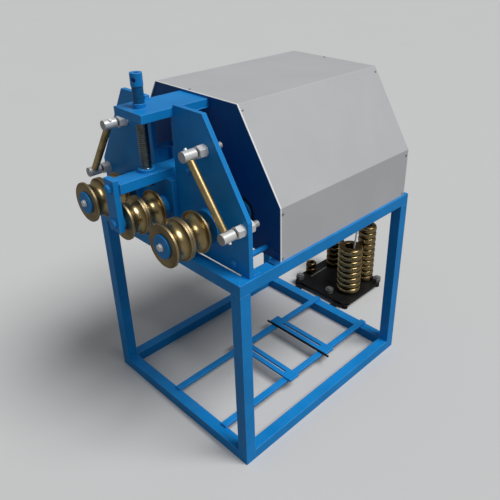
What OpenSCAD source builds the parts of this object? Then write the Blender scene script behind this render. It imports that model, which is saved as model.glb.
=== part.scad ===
// Three-roll ring and profile bending machine on a tube stand, with a rack of spare rolls behind it.
// Millimetres. +Z up, rolls towards -Y, origin on the floor under the middle of the outline.

/* [Stand] */
// Width of the stand
stand_w = 735; // [660:5:900]
// Depth of the stand, front to back
stand_l = 850; // [760:5:1000]
// Height of the stand
stand_h = 715; // [600:5:900]
// Side of the square tube
tube = 40; // [35:1:50]
// Wall of the square tube
tube_wall = 2.5; // [2:0.5:4]
// Thickness of the plate that closes a leg's foot
plug_t = 3; // [2:0.5:5]
// Width of the two long bed bars
bar_w = 25; // [20:1:40]
// Thickness of the two long bed bars
bar_t = 10; // [6:1:14]
// Left bed bar, from the middle plane
bar_left_x = -45; // [-120:5:-20]
// Right bed bar, from the middle plane
bar_right_x = 215; // [160:5:260]
// How far a bed bar lies on the front base rail
bar_seat = 8; // [4:1:20]
// Width of each slotted rail
slot_rail_w = 47; // [36:1:60]
// Thickness of each slotted rail
slot_rail_t = 8; // [5:1:12]
// Width of the slot
slot_w = 9; // [7:0.5:13]
// Middle of the front slotted rail, from the stand's front
slot_front_y = 370; // [300:5:420]
// Middle of the rear slotted rail, from the stand's front
slot_rear_y = 582; // [520:5:660]
// How far a slotted rail runs past the bed bars
slot_rail_over = 16; // [14:1:40]
// Side of the square bar along the near edge of the rear slotted rail
bed_rod_side = 6; // [5:0.5:8]
// How far that square bar runs past the slotted rail
bed_rod_over = 14; // [8:1:30]

/* [Head] */
// Height of the head above the stand
head_h = 446; // [420:2:560]
// Height of the head's upright sides
head_side_h = 177; // [165:1:220]
// Half width of the head at its top
head_top_half = 193; // [180:1:260]
// Inset of the head from the stand's sides
head_inset = 6.5; // [4:0.5:12]
// Front face of the front plate, from the stand's front
front_plate_y = 45; // [42:1:70]
// Thickness of the front plate
front_plate_t = 15; // [12:1:20]
// Clear space between the two plates
plate_gap = 115; // [110:1:160]
// Thickness of the back plate
back_plate_t = 12; // [10:1:20]
// Half width of the slide window in the front plate
window_half = 52; // [48:1:60]
// Lower edge of the slide window above the stand
window_low = 45; // [38:1:50]
// Half width of the top plate
top_plate_half = 66; // [60:1:80]
// Thickness of the top plate
top_plate_t = 25; // [18:1:32]
// Drop of the top plate's face below the head's top
top_plate_drop = 8; // [4:1:14]
// Overhang of the top plate in front of the front plate
top_plate_over = 106; // [100:1:130]
// Leg of the welded foot angles
cleat_w = 30; // [24:1:36]
// Thickness of the foot angles
cleat_t = 4; // [3:0.5:6]
// Distance of a foot angle from the head's side
cleat_inset = 2; // [1:0.5:3]
// Radius of the tie bars between the plates
tie_r = 9; // [8.5:0.5:12]
// Upper tie bars, from the middle plane
tie_up_x = 115; // [108:1:130]
// Upper tie bars, above the stand
tie_up_z = 260; // [220:2:300]
// Lower tie bars, from the head's side
tie_low_in = 64; // [52:1:80]
// Lower tie bars, above the stand
tie_low_z = 27; // [20:1:34]
// Radius of the tie bolts
tie_bolt_r = 6; // [4:0.5:6]
// Width across flats of the tie bolts
tie_bolt_af = 19; // [16:1:22]
// Head height of the tie bolts
tie_bolt_head = 8; // [6:0.5:10]
// Depth of a tie bolt in its bar
tie_bolt_in = 25; // [15:1:35]

/* [Rolls] */
// Outer shafts, from the middle plane
shaft_x = 200; // [190:1:215]
// Outer shafts, above the stand
shaft_z = 115; // [105:1:125]
// Radius of the outer shafts
shaft_r = 20; // [16:0.5:24]
// Middle roll's axle above the stand, at rest
mid_z = 121; // [112:1:128]
// Radius of the outer rolls
roll_r = 65; // [58:1:70]
// Radius of the middle rolls
mid_roll_r = 60; // [54:1:64]
// Width of the front roll of each set
roll_a_w = 57; // [50:1:64]
// Width of the rear roll of each set
roll_b_w = 63; // [56:1:70]
// Width of a roll's flange at its rim
flange_w = 7; // [5:0.5:9]
// Depth of the front roll's groove
groove_a_depth = 13; // [8:0.5:16]
// Depth of the rear roll's groove
groove_b_depth = 24; // [18:0.5:28]
// Clear distance from the rear roll to the front plate
roll_standoff = 49; // [46:1:60]
// Radius of the blue end discs
cap_r = 36; // [28:1:42]
// Thickness of the blue end discs
cap_t = 6; // [4:0.5:10]
// Radius of the end bolts
cap_bolt_r = 6; // [5:0.5:8]
// Width across flats of the end bolts
cap_bolt_af = 19; // [17:1:24]
// Head height of the end bolts
cap_bolt_head = 8; // [6:0.5:10]
// Depth of an end bolt in its shaft
cap_bolt_in = 30; // [20:1:40]
// Radius of the shoulder behind each outer roll set
shoulder_r = 28; // [25:1:34]
// Radius of the front bearing flange
bearing_r = 55; // [50:1:58]
// Thickness of the front bearing flange
bearing_t = 20; // [16:1:24]
// Radius of the bearing spigot in the front plate
spigot_r = 34; // [30:1:40]
// Radius of the seal in the back plate
seal_r = 48; // [44:1:54]
// Radius of the back bearing collar
collar_r = 35; // [30:1:40]
// Length of the back bearing collar in front of the back plate
collar_out = 6; // [3:0.5:10]
// Length of the back bearing collar behind the back plate
collar_back = 5; // [3:0.5:8]

/* [Yoke] */
// Width of the yoke's front arm
arm_w = 48; // [42:1:60]
// Thickness of the yoke's front arm
arm_t = 18; // [14:1:24]
// Clear space between the front arm and the front roll
arm_gap = 6; // [4:0.5:12]
// Top of the front arm above the stand
arm_top = 260; // [250:1:270]
// How far the arms reach below the axle
arm_below = 24; // [20:1:32]
// Width of the yoke's beam
beam_w = 60; // [52:1:70]
// Thickness of the yoke's beam
beam_t = 30; // [26:1:34]
// Top of the beam above the stand
beam_top = 247; // [240:1:252]
// Half width of the yoke's rear arm
back_arm_half = 54; // [46:1:62]
// Thickness of the yoke's rear arm
back_arm_t = 18; // [14:1:22]
// Half width of the slide block behind the front plate
wing_half = 62; // [58:1:66]
// Thickness of the slide block behind the front plate
wing_t = 47; // [36:1:52]
// Lower edge of the slide block above the stand
wing_low = 75; // [68:1:90]
// Radius of the middle axle
axle_r = 17.5; // [14:0.5:20]
// Radius of the axle's domed front end
axle_end_r = 14; // [11:0.5:16]
// How far the axle's front end stands out
axle_end = 8; // [5:0.5:12]
// Radius of the spacer boss behind the middle rolls
boss_r = 31; // [26:1:38]
// Radius of the thrust washer in front of the middle rolls
thrust_r = 26; // [22:1:32]
// Radius of the yoke bolts
yoke_bolt_r = 8; // [6:0.5:9]
// Width across flats of the yoke bolts
yoke_bolt_af = 24; // [20:1:27]
// Head height of the yoke bolts
yoke_bolt_head = 10; // [7:0.5:12]
// Depth of a yoke bolt in the beam
yoke_bolt_in = 40; // [25:1:60]
// Outer side of the slide guides, from the middle plane
guide_outer_x = 90; // [84:1:96]
// Thickness of the guide keepers
keeper_t = 12; // [8:0.5:14]
// Inner half width of the guide keepers
keeper_half = 45; // [40:1:50]
// Lower end of the slide guides above the stand
guide_low = 20; // [12:1:28]
// Upper end of the slide guides above the stand
guide_top = 275; // [262:1:320]

/* [Screw] */
// Screw axis in front of the front plate
screw_out = 64; // [56:1:72]
// Radius of the screw
screw_r = 16; // [14:0.5:18]
// Radius of the screw's lower journal
journal_r = 12; // [9:0.5:13]
// Radius of the screw's retaining collar
retain_r = 20; // [16:0.5:24]
// Height of the screw's retaining collar
retain_h = 10; // [6:0.5:14]
// Radius of the round thrust boss on the beam
thrust_boss_r = 25; // [22:1:32]
// Height of the thrust boss
thrust_boss_h = 12; // [8:1:18]
// Radius of the screw nut's body
nut_r = 26; // [23:1:32]
// Radius of the screw nut's lower flange
nut_flange_r = 36; // [32:1:42]
// Thickness of the screw nut's lower flange
nut_flange_t = 12; // [8:1:14]
// Radius of the screw nut's upper collar
nut_collar_r = 18.5; // [17.5:0.5:22]
// Height of the screw nut's upper collar
nut_collar_h = 14; // [8:1:16]
// Free length of the screw between the nut's collar and the screw head
screw_free_l = 48; // [44:1:88]
// Radius of the screw head
screw_head_r = 17.5; // [16.5:0.5:21]
// Height of the screw head
screw_head_h = 36; // [28:1:44]
// Radius of the cross hole for the turning bar
bar_hole_r = 7; // [5:0.5:8]
// Turn of the cross hole from the front towards the right, in degrees
bar_hole_turn = 26; // [0:1:90]
// Radius of the socket in the top of the screw head
socket_r = 7; // [5:0.5:9]
// Depth of the socket in the top of the screw head
socket_d = 8; // [5:0.5:9]

/* [Side guides] */
// Upper studs, from the head's side
stud_up_in = 166; // [161:1:173]
// Upper studs, above the stand
stud_up_z = 345; // [330:1:360]
// Lower studs, from the head's side
stud_low_in = 24; // [23:0.5:32]
// Lower studs, above the stand
stud_low_z = 150; // [140:1:160]
// Radius of the studs
stud_r = 10; // [9:0.5:11]
// Radius of the stud heads
stud_head_r = 16; // [14:0.5:18]
// Length of the stud heads
stud_head_l = 42; // [36:1:48]
// Front end of the stud heads, in front of the front plate
stud_out = 77; // [74:1:84]
// Rear end of the studs, behind the front plate
stud_back = 42; // [38:1:50]
// Width across flats of the stud nuts
stud_nut_af = 34; // [30:1:36]
// Height of the front stud nuts
stud_nut_h = 24; // [18:1:25]
// Height of the rear stud nuts
stud_jam_h = 18; // [12:1:20]
// Radius of the stud washers
stud_washer_r = 18.5; // [17.5:0.5:22]
// Thickness of the stud washers
stud_washer_t = 3; // [2:0.5:4]
// Radius of the steel pins between the studs
pin_r = 5; // [4:0.5:6]
// How far a pin stands out of a stud head
pin_out = 5; // [3:0.5:10]
// Radius of the brass sleeves on the pins
sleeve_r = 11.5; // [8:0.5:13]
// Play at each end of a sleeve
sleeve_play = 0.5; // [0.3:0.1:2]

/* [Cover] */
// Thickness of the cover's sheet
cover_t = 2; // [1.5:0.5:3]
// How far the cover reaches in front of the back plate
cover_lip = 4; // [2:0.5:8]
// Distance of the cover's rear end from the stand's rear
cover_back = 21; // [12:1:30]
// Depth of the rear panel's flange
panel_flange = 24; // [16:1:30]
// Radius of the cover screws' heads
cover_screw_head_r = 4; // [3:0.5:5]
// Height of the cover screws' heads
cover_screw_head = 2; // [1.5:0.5:3]
// Radius of the cover screws
cover_screw_r = 1.8; // [1.4:0.1:2]
// Length of the cover screws under their heads
cover_screw_l = 8; // [6:0.5:12]
// Cover screw on the top face, left of the middle plane
cover_screw_top = 29; // [0:1:80]
// Distance of a cover screw from the nearest bend
cover_screw_in = 20; // [14:1:30]
// Distance of the lowest cover screws from the stand
cover_screw_low = 9; // [8:1:16]
// Radius of the hole in the cable gland
gland_r = 6; // [4:0.5:8]
// Radius of the cable gland
gland_out_r = 13; // [11:0.5:16]
// Length of the cable gland behind the rear panel
gland_l = 22; // [16:1:30]
// Cable gland, from the cover's side
gland_in = 101; // [71:5:141]
// Cable gland, above the stand
gland_z = 70; // [50:5:100]

/* [Drive] */
// Teeth on each sprocket
teeth = 16; // [16:4:20]
// Chain pitch
chain_pitch = 19.05; // [15.875:3.175:19.05]
// Thickness of a sprocket
sprocket_t = 11; // [9:0.5:13]
// Radius of a sprocket's hub
sprocket_hub_r = 32; // [28:0.5:34]
// Length of a sprocket's hub
sprocket_hub_l = 28; // [24:1:32]
// Distance of the sprockets behind the back plate
sprocket_back = 25; // [24:1:30]
// Drive shaft above the stand
drive_z = 235; // [225:1:250]
// Radius of the drive shaft
drive_r = 17.5; // [14:0.5:19]
// Thickness of a chain side plate
chain_plate_t = 2.5; // [2:0.5:3]
// Height of a chain side plate
chain_plate_h = 17; // [13:0.5:18]
// Radius of a chain roller
chain_roller_r = 6; // [5:0.1:6.2]
// Front face of the gearbox behind the back plate
gearbox_back = 70; // [62:1:80]
// Length of the gearbox
gearbox_l = 170; // [150:5:190]
// Width of the gearbox
gearbox_w = 165; // [150:5:180]
// Height of the gearbox above its shaft
gearbox_over = 80; // [60:5:90]
// Depth of the drive shaft in the gearbox
gearbox_bore_l = 60; // [40:5:80]
// Radius of the motor
motor_r = 80; // [70:1:90]
// Length of the motor
motor_l = 220; // [200:5:240]
// Motor axis below the drive shaft
motor_drop = 25; // [10:5:40]
// Length of the motor's fan cover
fan_l = 60; // [50:5:70]
// Radius of the motor's fan cover
fan_r = 84; // [72:1:92]
// Width of the terminal box
term_w = 90; // [70:5:100]
// Length of the terminal box
term_l = 110; // [90:5:120]
// Height of the terminal box
term_h = 40; // [30:5:50]
// Thickness of the motor's base plate
motor_base_t = 8; // [6:1:12]
// Overhang of the base plate round the gearbox
motor_base_over = 30; // [20:1:40]

/* [Spare-roll rack] */
// Width of the rack's plate
rack_w = 330; // [320:5:380]
// Depth of the rack's plate
rack_l = 290; // [290:5:340]
// Thickness of the rack's plate
rack_t = 12; // [8:1:16]
// Height of the rack's feet
rack_foot_h = 20; // [14:1:30]
// Radius of the rack's feet
rack_foot_r = 14; // [10:1:18]
// Corner cut of the rack's plate
rack_corner = 22; // [10:1:30]
// Right edge of the rack's plate, from the middle plane
rack_right_x = 75; // [60:5:120]
// Gap between the stand and the rack's plate
rack_gap = 55; // [40:5:90]
// Width of the rack's lugs
lug_w = 30; // [20:1:40]
// Thickness of the rack's lugs
lug_t = 6; // [4:0.5:8]
// Width of one spare roll
spare_w = 30; // [26:1:34]
// Radius of the front spare rolls
spare_a_r = 58; // [50:1:60]
// Radius of the right rear spare rolls
spare_b_r = 43; // [38:1:43]
// Radius of the left rear spare rolls
spare_c_r = 44; // [38:1:44]
// Radius of the left front spare rolls
spare_d_r = 26; // [20:1:26]
// Radius of the leaning bar in the front stack
lean_r = 4; // [3:0.5:5]
// How far that bar stands above its stack
lean_over = 95; // [60:5:120]
// Width across flats of the rack's nuts
rack_nut_af = 36; // [30:1:40]
// Height of the rack's nuts
rack_nut_h = 18; // [12:1:22]
// Radius of the rack's studs
rack_stud_r = 12; // [9:0.5:13]

/* [Hidden] */
cut = 1;              // overrun of every cut
fit = 0.05;           // radial clearance of running and sliding bores
seat = 0.2;           // clearance of a seat or a bolt hole
play = 0.4;           // clearance of the slide block in its guides
edge = 1.5;           // chamfer on roll rims and machined ends
half = 1 / 2;
turn = 360;
hex_sides = 6;
chain_gap = 0.3;       // running gap between a chain plate and a sprocket
shaft_tail = 12;      // end of a shaft behind its hub
strip_w = 5;          // width of the loose steel strip on the rack
strip_t = 3;          // thickness of that strip
rack_foot_in = 18;    // distance of a rack foot from the plate's edges

front_most = front_plate_y - roll_standoff - roll_b_w - roll_a_w - arm_gap - arm_t - yoke_bolt_head;
rear_most = stand_l + rack_gap + rack_l;
shift_y = -(front_most + rear_most) * half;

head_half = stand_w * half - head_inset;
gland_x = head_half - gland_in;
front_back_y = front_plate_y + front_plate_t;
back_plate_y = front_back_y + plate_gap;
back_back_y = back_plate_y + back_plate_t;
slope_len = sqrt(pow(head_half - head_top_half, 2) + pow(head_h - head_side_h, 2));
slope_nx = (head_h - head_side_h) / slope_len;
slope_nz = (head_half - head_top_half) / slope_len;
top_plate_top = head_h - top_plate_drop;
top_plate_low = top_plate_top - top_plate_t;
top_plate_y = front_plate_y - top_plate_over;

roll_back_y = front_plate_y - roll_standoff;
roll_mid_y = roll_back_y - roll_b_w;
roll_front_y = roll_mid_y - roll_a_w;
arm_back_y = roll_front_y - arm_gap;
arm_front_y = arm_back_y - arm_t;
screw_y = front_plate_y - screw_out;
bearing_y = front_plate_y - bearing_t;
sprocket_y = back_back_y + sprocket_back;
hub_y = sprocket_y + (sprocket_t - sprocket_hub_l) * half;
gearbox_y = back_back_y + gearbox_back;
shaft_end_y = hub_y + sprocket_hub_l + shaft_tail;
cover_y = back_plate_y - cover_lip;
cover_end_y = stand_l - cover_back;
panel_inset = cover_t + seat;
back_arm_y = front_plate_y - play - back_arm_t;
wing_y = front_back_y + play;
wing_back_y = wing_y + wing_t;
keeper_y = wing_back_y + play;
beam_low = beam_top - beam_t;
arm_low = mid_z - arm_below;
bolt_z = (beam_top + beam_low) * half;
screw_shoulder = beam_top + seat;
screw_top = top_plate_top + nut_collar_h;
head_low = screw_top + screw_free_l;
head_top = head_low + screw_head_h;
stud_up_x = head_half - stud_up_in;
stud_low_x = head_half - stud_low_in;
tie_low_x = head_half - tie_low_in;
stud_front_y = front_plate_y - stud_out;
stud_head_back = stud_front_y + stud_head_l;
pin_y = stud_front_y + stud_head_l * half;
pin_run = sqrt(pow(stud_low_x - stud_up_x, 2) + pow(stud_up_z - stud_low_z, 2));
pin_tilt = atan2(stud_low_x - stud_up_x, stud_up_z - stud_low_z);
pitch_r = chain_pitch * half / sin(turn * half / teeth);
tip_r = pitch_r + chain_roller_r * half + edge;
root_r = pitch_r - chain_roller_r - seat;
chain_mid_y = sprocket_y + sprocket_t * half;
chain_in = sprocket_t * half + chain_gap;
hex_turn = turn / hex_sides * half;
rack_top = rack_foot_h + rack_t;
rack_y = stand_l + rack_gap;
rack_mid_x = rack_right_x - rack_w * half;
spare_edge_share = 0.3;    // share of a ring's width that its rounded edge takes at each side
spare_neck_share = 0.155;  // share of a ring's radius that its rounded edge is deep
spare_bore_share = 0.45;   // share of a ring's radius that its hole takes
lean_foot_share = 0.3;     // share of the free hole between the middle and the bar's foot
lean_top_share = 0.87;     // share of the free hole between the middle and the bar at the top

module place() { translate([0, shift_y, 0]) children(); }
module up() { translate([0, shift_y, stand_h]) children(); }
// Cylinder along +Y from y0 to y1
module ycyl(r, y0, y1) { translate([0, y0, 0]) rotate([-90, 0, 0]) cylinder(r = r, h = y1 - y0); }
// Hexagonal prism along +Y from y0 to y1
module yhex(af, y0, y1) {
    translate([0, y0, 0]) rotate([-90, 0, 0])
        cylinder(r = af * half / cos(hex_turn), h = y1 - y0, $fn = hex_sides);
}
module block(x0, x1, y0, y1, z0, z1) { translate([x0, y0, z0]) cube([x1 - x0, y1 - y0, z1 - z0]); }
module mirrored() { children(); mirror([1, 0, 0]) children(); }
// Outline of the head, moved inwards by d on its sides and top
function outline(d, low = 0) = [
    [-head_half + d, low], [head_half - d, low],
    [head_half - d, head_side_h - d * (1 - slope_nx) / slope_nz],
    [head_top_half - d * (1 - slope_nz) / slope_nx, head_h - d],
    [-head_top_half + d * (1 - slope_nz) / slope_nx, head_h - d],
    [-head_half + d, head_side_h - d * (1 - slope_nx) / slope_nz]];
module slab(y0, y1) { translate([0, y1, 0]) rotate([90, 0, 0]) linear_extrude(y1 - y0) children(); }
// Band of sheet that follows the outline, open at the bottom
module band(d, t, y0, y1) {
    slab(y0, y1) difference() {
        polygon(outline(d));
        polygon(outline(d + t, -cut));
    }
}

// Stand
module leg(side, y0) {
    x0 = side * (stand_w - tube) * half - tube * half;
    color("#0a5fa5") place() difference() {
        block(x0, x0 + tube, y0, y0 + tube, 0, stand_h - tube);
        block(x0 + tube_wall, x0 + tube - tube_wall, y0 + tube_wall, y0 + tube - tube_wall,
            plug_t, stand_h - tube + cut);
    }
}
module leg_front_left() { leg(-1, 0); }
module leg_front_right() { leg(1, 0); }
module leg_rear_left() { leg(-1, stand_l - tube); }
module leg_rear_right() { leg(1, stand_l - tube); }

// Mitred tube of the top ring, seen along its length w with its outer edge on y = 0
module mitred(w) {
    difference() {
        linear_extrude(tube)
            polygon([[-w * half, 0], [w * half, 0], [w * half - tube, tube], [-w * half + tube, tube]]);
        translate([0, 0, tube_wall]) linear_extrude(tube - 2 * tube_wall)
            polygon([[-w * half + tube_wall - cut, tube_wall], [w * half - tube_wall + cut, tube_wall],
                [w * half - tube + tube_wall + cut, tube - tube_wall],
                [-w * half + tube - tube_wall - cut, tube - tube_wall]]);
    }
}
module ring_at() { color("#1c7cc6") up() translate([0, stand_l * half, -tube]) children(); }
module top_rail_front() { ring_at() translate([0, -stand_l * half, 0]) mitred(stand_w); }
module top_rail_rear() { ring_at() rotate(turn * half) translate([0, -stand_l * half, 0]) mitred(stand_w); }
module top_rail_right() { ring_at() rotate(turn / 4) translate([0, -stand_w * half, 0]) mitred(stand_l); }
module top_rail_left() { ring_at() rotate(-turn / 4) translate([0, -stand_w * half, 0]) mitred(stand_l); }

module cross_rail(y0) {
    x1 = stand_w * half - tube;
    color("#0a5fa5") place() difference() {
        block(-x1, x1, y0, y0 + tube, 0, tube);
        block(-x1 - cut, x1 + cut, y0 + tube_wall, y0 + tube - tube_wall, tube_wall, tube - tube_wall);
    }
}
module side_rail(side) {
    x0 = side * (stand_w - tube) * half - tube * half;
    color("#0a5fa5") place() difference() {
        block(x0, x0 + tube, tube, stand_l - tube, 0, tube);
        block(x0 + tube_wall, x0 + tube - tube_wall, tube - cut, stand_l - tube + cut,
            tube_wall, tube - tube_wall);
    }
}
module base_rail_front() { cross_rail(0); }
module base_rail_rear() { cross_rail(stand_l - tube); }
module base_rail_left() { side_rail(-1); }
module base_rail_right() { side_rail(1); }

module bed_bar(x) {
    color("#0a5fa5") place()
        block(x - bar_w * half, x + bar_w * half, tube - bar_seat, stand_l, tube, tube + bar_t);
}
module bed_bar_left() { bed_bar(bar_left_x); }
module bed_bar_right() { bed_bar(bar_right_x); }

module slot_rail(y) {
    x0 = bar_left_x - bar_w * half - slot_rail_over;
    x1 = bar_right_x + bar_w * half + slot_rail_over;
    s0 = bar_left_x + bar_w * half + slot_w;
    s1 = bar_right_x - bar_w * half - slot_w;
    color("#0a5fa5") place() difference() {
        block(x0, x1, y - slot_rail_w * half, y + slot_rail_w * half, tube + bar_t, tube + bar_t + slot_rail_t);
        block(s0 + slot_w * half, s1 - slot_w * half, y - slot_w * half, y + slot_w * half,
            tube + bar_t - cut, tube + bar_t + slot_rail_t + cut);
        for (x = [s0 + slot_w * half, s1 - slot_w * half]) translate([x, y, tube + bar_t - cut])
            cylinder(r = slot_w * half, h = slot_rail_t + 2 * cut);
    }
}
module slot_rail_front() { slot_rail(slot_front_y); }
module slot_rail_rear() { slot_rail(slot_rear_y); }
module bed_rod() {
    over = slot_rail_over + bed_rod_over + bar_w * half;
    y1 = slot_rear_y - slot_rail_w * half;
    z0 = tube + bar_t;
    color("#202224") place()
        block(bar_left_x - over, bar_right_x + over, y1 - bed_rod_side, y1, z0, z0 + bed_rod_side);
}

// Head plates
module foot_angle(y0, plate_first) {
    x0 = head_half - cleat_inset - cleat_w;
    wall_y = plate_first ? y0 : y0 + cleat_w - cleat_t;
    block(x0, x0 + cleat_w, y0, y0 + cleat_w, 0, cleat_t);
    block(x0, x0 + cleat_w, wall_y, wall_y + cleat_t, 0, cleat_w);
}
module front_plate() {
    color("#0d5c9c") up() {
        difference() {
            slab(front_plate_y, front_back_y) polygon(outline(0));
            block(-window_half, window_half, front_plate_y - cut, front_back_y + cut,
                window_low, top_plate_low + cut);
            block(-top_plate_half, top_plate_half, front_plate_y - cut, front_back_y + cut,
                top_plate_low, head_h + cut);
            mirrored() {
                translate([shaft_x, 0, shaft_z]) ycyl(spigot_r + seat, front_plate_y - cut, front_back_y + cut);
                translate([stud_up_x, 0, stud_up_z]) ycyl(stud_r + seat, front_plate_y - cut, front_back_y + cut);
                translate([stud_low_x, 0, stud_low_z]) ycyl(stud_r + seat, front_plate_y - cut, front_back_y + cut);
                translate([tie_up_x, 0, tie_up_z]) ycyl(tie_bolt_r + seat, front_plate_y - cut, front_back_y + cut);
                translate([tie_low_x, 0, tie_low_z]) ycyl(tie_bolt_r + seat, front_plate_y - cut, front_back_y + cut);
            }
        }
        mirrored() foot_angle(front_back_y, true);
    }
}
module back_plate() {
    color("#06254d") up() {
        difference() {
            slab(back_plate_y, back_back_y) polygon(outline(cover_t + seat));
            mirrored() {
                translate([shaft_x, 0, shaft_z]) ycyl(seal_r, back_plate_y - cut, back_back_y + cut);
                translate([tie_up_x, 0, tie_up_z]) ycyl(tie_bolt_r + seat, back_plate_y - cut, back_back_y + cut);
                translate([tie_low_x, 0, tie_low_z]) ycyl(tie_bolt_r + seat, back_plate_y - cut, back_back_y + cut);
            }
            cover_screw_spots() translate([0, 0, -cover_screw_l - cut])
                cylinder(r = cover_screw_r + fit, h = cover_screw_l + 2 * cut);
        }
        mirrored() foot_angle(back_plate_y - cleat_w, false);
    }
}
module top_plate() {
    color("#358cd2") up() difference() {
        block(-top_plate_half, top_plate_half, top_plate_y, back_plate_y, top_plate_low, top_plate_top);
        translate([0, screw_y, top_plate_low - cut]) cylinder(r = nut_r, h = top_plate_t + 2 * cut);
    }
}
module screw_nut() {
    color("#1c7cc6") up() translate([0, screw_y, 0]) difference() {
        union() {
            translate([0, 0, top_plate_low]) cylinder(r = nut_r, h = top_plate_t);
            translate([0, 0, top_plate_low - nut_flange_t]) cylinder(r = nut_flange_r, h = nut_flange_t);
            translate([0, 0, top_plate_top]) cylinder(r = nut_collar_r, h = nut_collar_h);
        }
        translate([0, 0, top_plate_low - nut_flange_t - cut])
            cylinder(r = screw_r + fit, h = top_plate_t + nut_flange_t + nut_collar_h + 2 * cut);
    }
}
module tie_spots() {
    mirrored() {
        translate([tie_up_x, 0, tie_up_z]) children();
        translate([tie_low_x, 0, tie_low_z]) children();
    }
}
module tie_bars() {
    color("#0a4f8c") up() tie_spots() difference() {
        ycyl(tie_r, front_back_y, back_plate_y);
        ycyl(tie_bolt_r + fit, front_back_y - cut, front_back_y + tie_bolt_in + cut);
        ycyl(tie_bolt_r + fit, back_plate_y - tie_bolt_in - cut, back_plate_y + cut);
    }
}
module tie_bolts() {
    color("#0d5c9c") up() tie_spots() {
        yhex(tie_bolt_af, front_plate_y - tie_bolt_head, front_plate_y);
        ycyl(tie_bolt_r, front_plate_y - cut, front_back_y + tie_bolt_in);
        yhex(tie_bolt_af, back_back_y, back_back_y + tie_bolt_head);
        ycyl(tie_bolt_r, back_plate_y - tie_bolt_in, back_back_y + cut);
    }
}
module slide_guides() {
    rail_x = wing_half + play;
    color("#0d5c9c") up() mirrored() {
        block(rail_x, guide_outer_x, front_back_y, keeper_y, guide_low, guide_top);
        block(keeper_half, guide_outer_x, keeper_y, keeper_y + keeper_t, guide_low, guide_top);
    }
}
module front_bearings() {
    color("#0a5fa5") up() mirrored() translate([shaft_x, 0, shaft_z]) difference() {
        union() {
            ycyl(bearing_r, bearing_y, front_plate_y);
            ycyl(spigot_r, front_plate_y - cut, front_back_y);
        }
        ycyl(shaft_r + fit, bearing_y - cut, front_back_y + cut);
    }
}
module back_bearings() {
    color("#0a5fa5") up() mirrored() translate([shaft_x, 0, shaft_z]) difference() {
        ycyl(collar_r, back_plate_y - collar_out, back_back_y + collar_back);
        ycyl(shaft_r + fit, back_plate_y - collar_out - cut, back_back_y + collar_back + cut);
    }
}
module bearing_seals() {
    color("#101214") up() mirrored() translate([shaft_x, 0, shaft_z]) difference() {
        ycyl(seal_r, back_plate_y, back_back_y);
        ycyl(collar_r, back_plate_y - cut, back_back_y + cut);
    }
}

// Cover
// One spot per cover screw, with +Z standing off the sheet and z = 0 on its outside
module cover_screw_ring() {
    slope_dx = cover_screw_in * slope_nz;
    slope_dz = cover_screw_in * slope_nx;
    translate([-cover_screw_top, 0, head_h]) children();
    for (s = [-1, 1]) {
        translate([s * (head_top_half + slope_dx), 0, head_h - slope_dz])
            rotate([0, s * atan2(slope_nx, slope_nz), 0]) children();
        for (z = [cover_screw_low, head_side_h - cover_screw_in])
            translate([s * head_half, 0, z]) rotate([0, s * turn / 4, 0]) children();
    }
}
module cover_screw_spots() {
    for (y = [back_plate_y + back_plate_t * half, cover_end_y - panel_flange * half])
        translate([0, y, 0]) cover_screw_ring() children();
}
module cover_shell() {
    color("#b4b5b7") up() difference() {
        band(0, cover_t, cover_y, cover_end_y);
        cover_screw_spots() translate([0, 0, -cover_t - cut])
            cylinder(r = cover_screw_r + seat, h = cover_t + 2 * cut);
    }
}
module rear_panel() {
    color("#a2a3a5") up() difference() {
        union() {
            slab(cover_end_y - cover_t, cover_end_y) polygon(outline(panel_inset));
            band(panel_inset, cover_t, cover_end_y - panel_flange, cover_end_y);
        }
        cover_screw_spots() translate([0, 0, -cover_screw_l])
            cylinder(r = cover_screw_r + fit, h = cover_screw_l + cut);
        translate([gland_x, 0, gland_z])
            ycyl(gland_r + cover_t + seat, cover_end_y - cover_t - cut, cover_end_y + cut);
    }
}
module cover_screws() {
    color("#5c5f63") up() cover_screw_spots() {
        cylinder(r = cover_screw_head_r, h = cover_screw_head);
        translate([0, 0, -cover_screw_l]) cylinder(r = cover_screw_r, h = cover_screw_l + cut);
    }
}
module cable_gland() {
    color("#1a1c1e") up() translate([gland_x, 0, gland_z]) difference() {
        union() {
            ycyl(gland_out_r, cover_end_y, cover_end_y + gland_l - gland_r);
            ycyl(gland_out_r - cover_t, cover_end_y, cover_end_y + gland_l);
            ycyl(gland_r + cover_t, cover_end_y - 2 * cover_t - gland_r, cover_end_y);
            yhex(2 * gland_out_r - cover_t, cover_end_y - cover_t - gland_r, cover_end_y - cover_t);
        }
        ycyl(gland_r, cover_end_y - 2 * cover_t - gland_r - cut, cover_end_y + gland_l + cut);
    }
}

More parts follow.
